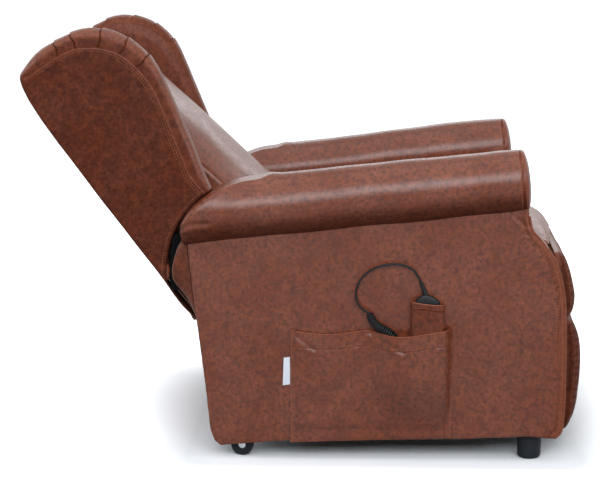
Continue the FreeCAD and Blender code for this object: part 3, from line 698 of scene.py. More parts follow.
def pick(piece: Piece) -> Piece:
    """Makes one object the only one selected.

    Args:
        piece: The object.

    Returns:
        The same object.
    """
    deselect()
    piece.select_set(True)
    bpy.context.view_layer.objects.active = piece
    return piece


def added(name: str) -> Piece:
    """The object that an operator has just added, under its own name.

    Args:
        name: Its name.

    Returns:
        The object.
    """
    piece = bpy.context.active_object
    piece.name = name
    return piece


def settle(piece: Piece) -> Piece:
    """Puts a piece's place into its mesh, so that its object sits at the origin.

    Args:
        piece: The piece.

    Returns:
        The same piece.
    """
    pick(piece)
    bpy.ops.object.transform_apply(location=True, rotation=True, scale=True)
    return piece


def modify(piece: Piece, kind: str, **settings: object) -> Piece:
    """Adds one modifier to a piece and applies it.

    Args:
        piece: The piece.
        kind: The modifier's type.
        settings: Its settings.

    Returns:
        The same piece.
    """
    pick(piece)
    modifier = piece.modifiers.new(kind.title(), kind)
    for key, value in settings.items():
        setattr(modifier, key, value)
    bpy.ops.object.modifier_apply(modifier=modifier.name)
    return piece


def joined(name: str, parts: Sequence[Piece]) -> Piece:
    """Several meshes as one piece.

    Args:
        name: The piece's name.
        parts: One mesh or more.

    Returns:
        The joined piece.
    """
    deselect()
    for part in parts:
        part.select_set(True)
    bpy.context.view_layer.objects.active = parts[0]
    if len(parts) > 1:
        bpy.ops.object.join()
    parts[0].name = name
    return parts[0]


def corners(piece: Piece) -> Rows:
    """A mesh's corners as rows of sideways, forward and up, in millimetres.

    Args:
        piece: The piece.

    Returns:
        One row for each corner.
    """
    flat = np.empty(len(piece.data.vertices) * 3, np.float32)
    piece.data.vertices.foreach_get("co", flat)
    rows = flat.reshape(-1, 3).astype(float) / MM
    rows[:, 1] = CENTRE - rows[:, 1]
    return rows


def normals(piece: Piece) -> Rows:
    """A mesh's corner normals as rows of sideways, forward and up.

    Args:
        piece: The piece.

    Returns:
        One row for each corner.
    """
    flat = np.empty(len(piece.data.vertices) * 3, np.float32)
    piece.data.vertex_normals.foreach_get("vector", flat)
    rows = flat.reshape(-1, 3).astype(float)
    rows[:, 1] *= -1
    return rows


def reshape(piece: Piece, rows: Rows) -> None:
    """Puts a mesh's corners at new places, given as corners gives them.

    Args:
        piece: The piece.
        rows: One row for each corner.
    """
    moved = rows.copy()
    moved[:, 1] = CENTRE - moved[:, 1]
    piece.data.vertices.foreach_set("co", (moved * MM).astype(np.float32).ravel())
    piece.data.update()


def swell(piece: Piece, height: Rows) -> None:
    """Moves each corner out along its normal by so many millimetres."""
    reshape(piece, corners(piece) + normals(piece) * height[:, None])


def paint(piece: Piece, name: str, values: Rows) -> None:
    """Stores one value for each corner, for the leather to read."""
    layer = piece.data.attributes.get(name) or piece.data.attributes.new(name, "FLOAT", "POINT")
    layer.data.foreach_set("value", np.clip(values, 0, 1).astype(np.float32))


def lumps(rows: Rows, size: float, seed: float) -> Rows:
    """Slow unevenness between about -1 and 1, with lumps about size millimetres across."""
    scaled = rows / size + seed
    return np.array([noise.noise(Vector(row)) for row in scaled]) * 2


def copy_of(node: str, name: str) -> Piece:
    """A CAD node's solid as a free mesh with its corners merged.

    Args:
        node: The solid's name.
        name: The new piece's name.

    Returns:
        The new piece.
    """
    source = FRAME["nodes"][node]
    piece = source.copy()
    piece.data = source.data.copy()
    piece.name = name
    piece.parent = None
    for key in list(piece.keys()):
        del piece[key]
    bpy.context.scene.collection.objects.link(piece)
    pick(piece)
    bpy.ops.object.mode_set(mode="EDIT")
    bpy.ops.mesh.select_all(action="SELECT")
    bpy.ops.mesh.remove_doubles(threshold=1e-5)
    bpy.ops.mesh.normals_make_consistent(inside=False)
    bpy.ops.object.mode_set(mode="OBJECT")
    return piece


def upholster(node: str, name: str, voxel: float, rounds: int) -> Piece:
    """Even, softened mesh of a CAD solid, ready to be shaped as a leather cover.

    Args:
        node: The solid's name.
        name: The new piece's name.
        voxel: Size of the mesh's faces in millimetres.
        rounds: How often it is smoothed, which rounds its edges.

    Returns:
        The new piece.
    """
    piece = copy_of(node, name)
    modify(piece, "REMESH", mode="VOXEL", voxel_size=voxel * MM, use_smooth_shade=True)
    return modify(piece, "SMOOTH", iterations=rounds, factor=0.5)


def inflate(piece: Piece, free: Rows, cap: float) -> None:
    """Swells a padded piece as cloth over its filling, and caps how far it moves.

    Args:
        piece: The padded piece, evenly meshed.
        free: One value for each corner: 1 where the cover may move and 0 where it is held.
        cap: Largest movement in millimetres.
    """
    before = corners(piece)
    group = piece.vertex_groups.new(name="held")
    group.add(np.flatnonzero(free < 0.5).tolist(), 1.0, "REPLACE")
    pick(piece)
    cloth = piece.modifiers.new("Cover", "CLOTH")
    cloth.settings.vertex_group_mass = "held"
    cloth.settings.use_pressure = True
    cloth.settings.uniform_pressure_force = 4.0
    cloth.settings.effector_weights.gravity = 0
    cloth.settings.quality = 4
    scene = bpy.context.scene
    for frame_number in range(1, 21):
        scene.frame_set(frame_number)
    bpy.ops.object.modifier_apply(modifier=cloth.name)
    scene.frame_set(1)
    piece.vertex_groups.clear()
    moved = corners(piece) - before
    far = np.linalg.norm(moved, axis=1, keepdims=True)
    limit = cap * np.tanh(far / cap)
    reshape(piece, before + moved * limit / np.maximum(far, 1e-6) * free[:, None])


class Side(Enum):
    """The sitter's right, with the pocket, and left."""

    RIGHT = ("right", -1)
    LEFT = ("left", 1)

    @property
    def word(self) -> str:
        """The side's name in the frame."""
        return self.value[0]

    @property
    def sign(self) -> int:
        """Direction of the side along X."""
        return self.value[1]


def curve_through(name: str, places: Sequence[Vector], radius: float, order: int = 2) -> Piece:
    """Curve along places in metres.

    Args:
        name: The curve's name.
        places: Its control points.
        radius: Radius of the tube on it in metres, or 0 for a bare line.
        order: 2 for straight runs between close points, 3 for a smooth curve.

    Returns:
        The curve object.
    """
    deselect()
    bpy.ops.curve.primitive_nurbs_path_add(location=(0, 0, 0))
    curve = added(name)
    data = curve.data
    data.splines.clear()
    spline = data.splines.new("NURBS")
    spline.points.add(len(places) - 1)
    for point, at in zip(spline.points, places):
        point.co = (*at, 1.0)
    spline.order_u = order
    spline.use_endpoint_u = True
    spline.resolution_u = 8 if order > 2 else 1
    data.twist_mode = "MINIMUM"
    data.bevel_depth = radius
    data.bevel_resolution = 3
    data.use_fill_caps = True
    return curve


def drawn_points(curve: Piece) -> list[Vector]:
    """Places along a curve's own smooth line, without its tube.

    Args:
        curve: The curve.

    Returns:
        The places in metres.
    """
    depth = curve.data.bevel_depth
    curve.data.bevel_depth = 0.0
    mesh = bpy.data.meshes.new_from_object(curve)
    places = [v.co.copy() for v in mesh.vertices]
    bpy.data.meshes.remove(mesh)
    curve.data.bevel_depth = depth
    return places


def tube(name: str, places: Sequence[Vector], radius: float, order: int = 2) -> Piece:
    """Round mesh tube along places in metres, smooth shaded.

    Args:
        name: The piece's name.
        places: Places on its middle line.
        radius: Its radius in metres.
        order: 2 for close points, 3 for a smooth curve.

    Returns:
        The new piece.
    """
    curve = curve_through(name, places, radius, order)
    pick(curve)
    bpy.ops.object.convert(target="MESH")
    bpy.ops.object.shade_smooth_by_angle(angle=1.0)
    return added(name)


class Cover:
    """A finished leather cover, and the seams that are laid on it."""

    def __init__(self, piece: Piece, body: str) -> None:
        """Keeps the piece and the body that it rides on.

        Args:
            piece: The cover.
            body: The body that it rides on.
        """
        bpy.context.view_layer.update()
        self.piece = piece
        self.body = body
        self.tree = BVHTree.FromObject(piece, bpy.context.evaluated_depsgraph_get())
        self.threads: list[Piece] = []
        self.welts: list[Piece] = []

    def lay(self, starts: Sequence[Vector], aims: Sequence[Vector], lift: float) -> list[Vector]:
        """Places on the cover where rays meet it.

        Args:
            starts: Where the rays start, outside the cover.
            aims: Which way each goes.
            lift: Height above the surface in metres.

        Returns:
            The places met, in order; rays that miss are left out.
        """
        found = []
        for start, aim in zip(starts, aims):
            at, normal, _, _ = self.tree.ray_cast(start, aim)
            if at is not None:
                found.append(at + normal * lift)
        return found

    def from_side(self, line: Line, sign: int, lift: float, spacing: float = 4.0) -> list[Vector]:
        """Places on the cover of a side-view line seen from one side."""
        starts = [place(sign * OUTSIDE, *row) for row in smooth_line(line, spacing)]
        return self.lay(starts, [Vector((-sign, 0, 0))] * len(starts), lift)

    def sew(self, starts: Sequence[Vector], aim: Vector) -> None:
        """Sews a row of stitches on the cover where rays from the starts, all one way, meet it."""
        self.stitch(self.lay(starts, [aim] * len(starts), ON_TOP))

    def stitch(self, places: Sequence[Vector], pitch: float = 6.5, thread: float = 1.1) -> None:
        """Sews a row of stitches along places on the cover.

        Args:
            places: The row's places in metres.
            pitch: Millimetres from stitch to stitch.
            thread: Thickness of the thread in millimetres.
        """
        length = sum((b - a).length for a, b in zip(places, places[1:])) / MM
        if len(places) < 3 or length < 3 * pitch:
            return
        path = curve_through("seam_path", places, 0.0)
        deselect()
        bpy.ops.mesh.primitive_uv_sphere_add(segments=6, ring_count=4, radius=thread / 2 * MM)
        row = added("stitch")
        bpy.ops.transform.rotate(value=math.pi / 2, orient_axis="Y", center_override=(0, 0, 0))
        bpy.ops.object.transform_apply(location=True, rotation=True, scale=True)
        bpy.ops.transform.resize(value=(pitch * 0.72 / thread, 1, 0.9))
        bpy.ops.object.transform_apply(location=True, rotation=True, scale=True)
        modify(
            row,
            "ARRAY",
            fit_type="FIT_LENGTH",
            fit_length=(length - pitch) * MM,
            use_relative_offset=False,
            use_constant_offset=True,
            constant_offset_displace=(pitch * MM, 0, 0),
        )
        modify(row, "CURVE", object=path, deform_axis="POS_X")
        bpy.data.objects.remove(path)
        pick(row)
        bpy.ops.object.shade_smooth()
        self.threads.append(row)

    def welt(self, places: Sequence[Vector], radius: float) -> None:
        """Lays a round welt of leather along places on the cover; the radius is in millimetres."""
        if len(places) >= 3:
            self.welts.append(tube("welt", places, radius * MM))

    def seams(self, word: str, wear: float) -> list[Piece]:
        """Dresses the stitches and the welts, and puts them on the cover's body.

        Args:
            word: What the welts are called.
            wear: How worn the welts are, 0 to 1.

        Returns:
            One piece for all stitches and one for all welts, where there are any.
        """
        pieces = []
        if self.threads:
            pieces.append(dress(joined(f"{self.piece.name}_stitches", self.threads), Finish.THREAD))
        if self.welts:
            welts = dress(joined(f"{self.piece.name}_{word}", self.welts), Finish.LEATHER)
            paint(welts, "wear", np.full(len(welts.data.vertices), wear))
            pieces.append(welts)
        for seam in pieces:
            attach(seam, self.body)
        return pieces

    def finished(self, node: str) -> None:
        """Dresses the cover and its seams, puts them on their body, and reports them.

        Args:
            node: CAD solid that the cover stands for.
        """
        piece = dress(self.piece, Finish.LEATHER)
        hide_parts(node)
        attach(piece, self.body)
        self.seams("welts", 0.35)
        LOG.info("%s: %d faces", piece.name, len(piece.data.polygons))


def walked(line: Rows, share: Rows) -> tuple[Rows, Rows]:
    """Forward places and heights at shares 0 to 1 of the way along an evenly spaced line.

    Args:
        line: The line's rows.
        share: Shares of its length.

    Returns:
        Both, one for each share.
    """
    at = share * (len(line) - 1)
    forward, height = (np.interp(at, np.arange(len(line)), line[:, k]) for k in (0, 1))
    return forward, height


def inset(line: Line, distance: float) -> list[Spot]:
    """A side-view line moved to its right-hand side, seen along its own direction.

    Args:
        line: The line.
        distance: How far it moves in millimetres.

    Returns:
        The moved line.
    """
    rows = np.array(line, float)
    steps = np.gradient(rows, axis=0)
    steps /= np.linalg.norm(steps, axis=1, keepdims=True)
    return [tuple(row) for row in rows + np.stack([steps[:, 1], -steps[:, 0]], -1) * distance]


def formed_sheet(
    name: str,
    across: int,
    up: int,
    shape: Callable[[Rows, Rows], Rows],
    thickness: float,
) -> Piece:
    """Sheet of leather or cloth bent to a shape and given its thickness.

    Args:
        name: The piece's name.
        across: Number of faces one way.
        up: Number of faces the other way.
        shape: Gives rows of sideways, forward and up in millimetres for shares 0 to 1 each way.
        thickness: The sheet's thickness in millimetres.

    Returns:
        The new piece.
    """
    deselect()
    bpy.ops.mesh.primitive_grid_add(x_subdivisions=across, y_subdivisions=up, size=1.0)
    sheet = settle(added(name))
    flat = np.empty(len(sheet.data.vertices) * 3, np.float32)
    sheet.data.vertices.foreach_get("co", flat)
    shares = flat.reshape(-1, 3).astype(float) + 0.5
    reshape(sheet, shape(shares[:, 0], shares[:, 1]))
    modify(sheet, "SOLIDIFY", thickness=thickness * MM, offset=0.0)
    pick(sheet)
    bpy.ops.object.mode_set(mode="EDIT")
    bpy.ops.mesh.select_all(action="SELECT")
    bpy.ops.mesh.normals_make_consistent(inside=False)
    bpy.ops.object.mode_set(mode="OBJECT")
    bpy.ops.object.shade_smooth_by_angle(angle=1.0)
    return sheet


# Camera and light


@dataclass(frozen=True)
class PhotoCamera:
    """The photograph's camera, found from measured points of the chair."""

    lens: float = 109.2
    at: tuple[float, float, float] = (-4.2069, -0.1704, 1.1769)
    yaw: float = 2.6055
    pitch: float = 10.199

    def make(self) -> None:
        """Adds the camera and makes it the scene's."""
        bpy.ops.object.camera_add()
        camera = added("photo_camera")
        yaw, pitch = math.radians(self.yaw), math.radians(self.pitch)
        ahead = Vector(
            (math.cos(pitch) * math.cos(yaw), math.cos(pitch) * math.sin(yaw), -math.sin(pitch))
        )
        right = Vector((math.sin(yaw), -math.cos(yaw), 0.0))
        turn = Matrix((right, right.cross(ahead), -ahead)).transposed().to_4x4()
        camera.matrix_world = Matrix.Translation(self.at) @ turn
        camera.data.lens = self.lens
        camera.data.sensor_width = 36.0
        camera.data.clip_end = 60.0
        bpy.context.scene.camera = camera


@dataclass(frozen=True)
class Softbox:
    """Large soft lamp: where it stands, what it is aimed at, its size in metres and its power."""

    name: str
    at: tuple[float, float, float]
    aim: tuple[float, float, float]
    width: float
    height: float
    watts: float

    def make(self) -> None:
        """Adds the lamp."""
        bpy.ops.object.light_add(type="AREA", location=self.at)
        lamp = added(self.name)
        towards = Vector(self.aim) - Vector(self.at)
        lamp.rotation_euler = towards.to_track_quat("-Z", "Y").to_euler()
        lamp.data.shape = "RECTANGLE"
        lamp.data.size = self.width
        lamp.data.size_y = self.height
        lamp.data.energy = self.watts
        lamp.data.color = (0.9, 0.95, 1.0)


@dataclass(frozen=True)
class Studio:
    """White paper floor, white surroundings and large soft lamps."""

    floor_size: float = 60.0
    surround: float = 0.22
    sky: float = 1.1
    lamps: tuple[Softbox, ...] = (
        Softbox("long_softbox", (-4.6, -0.3, 2.75), (0.0, -0.1, 0.45), 4.4, 2.0, 215.0),
        Softbox("front_softbox", (-1.6, -4.2, 2.2), (0.0, -0.1, 0.5), 1.8, 1.8, 40.0),
        Softbox("far_softbox", (4.4, -0.3, 2.5), (0.0, -0.1, 0.45), 4.0, 0.8, 26.0),
        Softbox("rear_softbox", (-0.6, 4.4, 2.2), (0.0, 0.0, 0.5), 2.0, 2.0, 60.0),
    )

    def make(self) -> None:
        """Adds the floor, the lamps and the world."""
        deselect()
        bpy.ops.mesh.primitive_plane_add(size=self.floor_size, location=(0, 0, -0.0005))
        floor = settle(added("studio_floor"))
        dress(floor, Finish.PAPER)
        bpy.ops.object.light_add(type="SUN", location=(0, 0, 4), rotation=(0.0, -0.3, 0.0))
        sky = added("overhead_light")
        sky.data.angle = math.radians(70)
        sky.data.energy = self.sky
        for lamp in self.lamps:
            lamp.make()
        world = bpy.data.worlds.new("white_surround")
        world.use_nodes = True
        tree = world.node_tree
        tree.nodes.clear()
        strength = spread(tree, plain_rays(tree), 0.0, 1.0, self.surround, 1.0)
        paper = add_node(tree, "Background", {"Color": (1, 1, 1, 1)}, {"Strength": strength})
        add_node(tree, "OutputWorld", links={"Surface": paper.outputs[0]})
        bpy.context.scene.world = world
        bpy.context.scene.view_settings.view_transform = "Standard"


# Cables


@dataclass(frozen=True)
class HandsetCable:
    """The handset's cable: a smooth loop, then a curly part that drops into the pocket."""

    side: float = HANDSET_SIDE
    diameter: float = 5.0
    wire: float = 4.5
    outside: Spot = (19.0, 24.0)
    pitch: float = 5.0
    fine: float = 0.25
    loop: Spots = (
        (372, 404), (364, 423), (346, 438), (321, 443), (294, 441),
        (268, 432), (246, 414), (233, 389), (233, 362), (246, 342),
        (262, 334),
    )
    curl: Spots = (
        (262, 334), (267, 318), (281, 303), (300, 293.5), (316, 280),
        (318, 254), (310, 226),
    )

    def make(self) -> None:
        self.make_curl()
        self.make_loop()

    def make_loop(self) -> None:
        """The smooth part, which follows the handset at one end."""
        route = [place(self.side, *at) for at in self.loop]
        curve = curve_through("smooth_cable", route, self.diameter / 2 * MM, 3)
        line = drawn_points(curve)
        pick(curve)
        bpy.ops.object.convert(target="MESH")
        cable = dress(added("smooth_cable"), Finish.JACKET)
        bpy.ops.object.shade_smooth_by_angle(angle=1.0)
        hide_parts("handset_cable")
        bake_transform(cable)

    def make_curl(self) -> None:
        """The curly part, wound round the route's own smooth line."""
        route = curve_through("curl_route", [place(self.side, *at) for at in self.curl], 0.0, 3)
        middle = smooth_line(drawn_points(route), self.fine * MM)
        bpy.data.objects.remove(route)
        shares = np.linspace(0, 1, len(middle))
        radii = (np.interp(shares, (0.1, 0.5), self.outside) - self.wire) / 2 * MM
        steps = np.gradient(middle, axis=0)
        turns = []
        for number, (at, step) in enumerate(zip(middle, steps)):
            along = Vector(step).normalized()
            sideways = Vector((1.0, 0.0, 0.0))
            turn = 2 * math.pi * number * self.fine / self.pitch
            out = sideways * math.cos(turn) + along.cross(sideways) * math.sin(turn)
            taper = min(1.0, (number + 4) / 24)
            turns.append(Vector(at) + out * float(radii[number]) * taper)
        curl = dress(tube("curly_part", turns, self.wire / 2 * MM), Finish.JACKET)
        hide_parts("curly_cable")
        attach(curl, "carriage")

    @staticmethod
    def run(line: Sequence[Vector]) -> float:
        """Length of a line of close points."""
        return sum((b - a).length for a, b in zip(line, line[1:]))


# Arms and sides

# Front edge of the sides, from the floor up to the arm.
FRONT_EDGE = (
    (668, 54), (682, 68), (687, 106), (688, 218), (686, 329), (681, 380),
    (671, 423), (656, 459), (627, 497), (611, 516), (604, 546),
)


@dataclass(frozen=True)
class ArmRoll:
    """Padded arm: a sleeve of leather drawn over the roll, and a crowned disc sewn to its front."""

    side: Side
    front: Spot = (600.0, 619.5)
    rear: Spot = (-150.0, 538.8)
    length: float = 754.3
    middle: float = 308.0
    face: float = 66.0
    disc: float = 12.5
    crown: float = 6.0

    def axis(self) -> Rows:
        """Direction of the roll's axis in side view, towards its front."""
        way = np.array(self.front) - np.array(self.rear)
        return way / np.linalg.norm(way)

    def ring(self, back: float) -> tuple[list[Vector], list[Vector]]:
        """Rays towards the roll's axis from round its outside, at a distance behind its front.

        Args:
            back: Distance behind the front in millimetres.

        Returns:
            Where the rays start, and which way each goes.
        """
        axis = self.axis()
        centre = np.array(self.front) - axis * back
        starts, aims = [], []
        for degrees in np.arange(-52, 232, 3.0):
            turn = math.radians(degrees)
            up = np.array([-axis[1], axis[0]]) * math.sin(turn)
            out = Vector((self.side.sign * math.cos(turn), -up[0], up[1]))
            starts.append(place(self.side.sign * self.middle, *centre) + out * 0.12)
            aims.append(-out)
        return starts, aims

    def make(self) -> None:
        """Builds the arm's cover and its seams."""
        piece = upholster(f"arm_roll_{self.side.word}", f"arm_cover_{self.side.word}", 4.2, 4)
        rows = corners(piece)
        back = (np.array(self.front) - rows[:, 1:]) @ self.axis()
        axis = (np.array(self.front) - np.array(self.rear)) / self.length
        centre = np.array(self.front) - back[:, None] * axis
        off_axis = np.linalg.norm(rows[:, 1:] - centre, axis=1)
        radial = np.hypot(np.abs(rows[:, 0]) - self.middle, off_axis)
        seam = bell(back - self.disc, 3.2)
        outward = ramp(radial, 40, self.face)
        height = lumps(rows, 95, 3.0) * 1.3 * ramp(back, 20, 80)
        height = height - (1.2 * seam + 1.6) * outward * ramp(back, 60, 10)
        height -= 0.8 * bell(back - 4, 6) * outward
        swell(piece, height)
        rows = self.meet_wing(corners(piece))
        if self.side is Side.LEFT:
            sunk = np.interp(rows[:, 1], (-60, 0, 137, 256, 405, 520), (13, 10.5, 7, 4, 2, 0))
            rows[:, 2] -= sunk * ramp((rows[:, 1:] - centre)[:, 1], -20, 60)
        domed = np.clip(1 - (radial / self.face) ** 2, 0, 1)
        rows[:, 1] += self.crown * domed * ramp(back, 6, 0)
        reshape(piece, rows)
        group = piece.vertex_groups.new(name="rear")
        for number in np.flatnonzero(back > 600).tolist():
            group.add([number], float(ramp(back[number], 600, 680)), "REPLACE")
        modify(piece, "SMOOTH", iterations=16, factor=0.5, vertex_group="rear")
        piece.vertex_groups.clear()
        self.fold_rear(piece)
        # Painted shade in the groove of the front disc's seam
        paint(piece, "seam", 0.55 * bell(back - self.disc, 1.8) * outward)
        paint(piece, "wear", 0.4 * ramp(back, 30, 0))
        # Painted shade: the roll's underside, which faces down, is darker and duller
        paint(piece, "shade", 0.42 * ramp(normals(piece)[:, 2], -0.05, -0.6))
        cover = Cover(piece, "carriage")
        cover.welt(cover.lay(*self.ring(self.disc - 5.0), -0.0004), 1.2)
        cover.stitch(cover.lay(*self.ring(self.disc + 5.5), ON_TOP))
        cover.finished(f"arm_roll_{self.side.word}")

    def meet_wing(self, rows: Rows) -> Rows:
        """Fills the roll's rear end out to just short of the wing's round lower edge.

        Args:
            rows: The cover's corners.

        Returns:
            The moved corners.
        """
        away = rows[:, 1:] - np.array(PIVOT)
        radius = np.linalg.norm(away, axis=1)
        angle = np.degrees(np.arctan2(away[:, 1], away[:, 0]))
        near = ramp(radius, 185, 204) * ramp(angle, 78, 90) * ramp(angle, 152, 138)
        grown = radius + 5.0 * near
        rows[:, 1:] = np.array(PIVOT) + away * (grown / radius)[:, None]
        return rows

    def fold_rear(self, piece: Piece) -> None:
        """Presses in the pinch folds where the sleeve is drawn round the roll's rear end.

        Args:
            piece: The arm's cover.
        """
        rows = corners(piece)
        height = np.zeros(len(rows))
        for line, depth in (
            (((-150, 560), (-128, 585), (-100, 596)), 1.7),
            (((-150, 515), (-120, 527), (-85, 530)), 1.5),
            (((-110, 640), (-84, 630), (-60, 610)), 0.9),
        ):
            far, _ = off_line(rows[:, 1:], smooth_line(line, 4.0))
            outside = ramp(rows[:, 0] * self.side.sign, self.middle, self.middle + 30)
            height -= depth * bell(far, 4.0) * outside
            height += depth * 0.5 * bell(far - 10, 6.0) * outside
        swell(piece, height)


# Rear edge of the side boards: heights, and the forward place at each.
BOARD_REAR = ((86, 155, 278, 379, 455), (-64, -71, -88, -102, -112))


@dataclass(frozen=True)
class SidePanel:
    """Leather drawn over the chair's side, with a welt and a row of stitches up its front edge."""

    side: Side
    face: float = 343.0
    stitch_in: float = 13.0
    wrap: float = 17.0
    crease: Spots = ((-133.0, 480.0), (583.0, 553.0))

    def slope(self) -> float:
        """How fast the crease under the arm rises towards the front."""
        (start, low), (end, high) = self.crease
        return (high - low) / (end - start)

    def make(self) -> None:
        """Builds the panel's cover and its seams."""
        piece = upholster(f"side_panel_{self.side.word}", f"side_cover_{self.side.word}", 3.6, 3)
        rows = corners(piece)
        above = rows[:, 2] - self.crease[0][1] - (rows[:, 1] - self.crease[0][0]) * self.slope()
        rows[:, 2] += 12 * ramp(above, -9, -2) * ramp(rows[:, 1], 606, 597)
        # The leather's rear edge goes round the side board's, between the wheel and the gusset.
        behind = ramp(rows[:, 1] - np.interp(rows[:, 2], *BOARD_REAR), -3, -6)
        behind *= ramp(rows[:, 2], 400, 375)
        behind *= ramp(rows[:, 2], 68, 76)
        inner = behind * ramp(rows[:, 0] * self.side.sign, 335, 327)
        rows[:, 0] -= self.side.sign * self.wrap * inner
        reshape(piece, rows)
        outer = ramp(rows[:, 0] * self.side.sign, 336, 342)
        edge, along = off_line(rows[:, 1:], smooth_line(FRONT_EDGE, 5.0))
        height = (lumps(rows, 130, 7.0) * 0.5 - 0.45) * outer
        pulled = bell(along - 430, 75) * ramp(edge, 9, 22) * ramp(edge, 115, 45)
        height += 0.8 * np.sin(along / 13 * 2 * math.pi + edge / 40) * pulled * outer
        height -= 1.3 * bell(edge - self.stitch_in, 2.2) * outer
        height += 0.5 * bell(edge - 6, 4.0) * outer
        for line in (((598, 523), (578, 540), (560, 556)), ((604, 505), (590, 522), (583, 540))):
            far, _ = off_line(rows[:, 1:], smooth_line(line, 4.0))
            height -= 2.2 * bell(far, 3.0) * outer
            height += 0.9 * bell(far - 8, 4.0) * outer
        swell(piece, height)
        # Painted shade in the groove of the front edge's row of stitches
        paint(piece, "seam", 0.5 * bell(edge - self.stitch_in, 1.5) * outer)
        paint(piece, "wear", 0.45 * bell(edge - 3, 9))
        cover = Cover(piece, "carriage")
        sign = self.side.sign
        cover.stitch(cover.from_side(inset(FRONT_EDGE[:-1], -self.stitch_in), sign, 0.0))
        edge_line = smooth_line(FRONT_EDGE, 5.0)
        cover.welt([place(sign * (self.face - 2.2), *row) for row in edge_line], 2.6)
        cover.finished(f"side_panel_{self.side.word}")


@dataclass(frozen=True)
class ArmFacings:
    """Leather facings on the fronts of both arms, and the panels inside them."""

    inner: float = 252.0
    outer: float = 324.7

    def make(self) -> None:
        """Builds the facings and the inner panels."""
        piece = upholster("arm_front_panels", "arm_facings", 3.6, 2)
        rows = corners(piece)
        edge, _ = off_line(rows[:, 1:], smooth_line(FRONT_EDGE, 5.0))
        middle = 1 - np.abs(np.abs(rows[:, 0]) - (self.inner + self.outer) / 2) / 36
        front = ramp(edge, 10, 3)
        swell(piece, (2.2 * np.clip(middle, 0, 1) + lumps(rows, 60, 2.0) * 0.6 - 1.0) * front)
        cover = Cover(piece, "carriage")
        line = smooth_line(FRONT_EDGE[1:-1], 5.0)
        for x in (self.inner + 9, self.outer - 8):
            for sign in (-1, 1):
                cover.sew([place(sign * x, row[0] + 60, row[1]) for row in line], Vector((0, 1, 0)))
        cover.finished("arm_front_panels")
        piece = upholster("arm_inner_panels", "arm_inner_covers", 4.0, 2)
        swell(piece, lumps(corners(piece), 70, 5.0) * 0.8 - 0.8)
        Cover(piece, "carriage").finished("arm_inner_panels")


# Back

# Seam between a wing's outer panel and its rim, from the rear top corner to the round lower edge.
WING_SEAM = [
    back_point(*at)
    for at in (
        (560, 10.3), (558, 40), (555, 98), (545, 140), (528, 166), (507, 189), (477, 209),
        (438, 219.6), (387, 221.8), (328, 211), (261, 192), (215, 180), (177, 170.4),
    )
]


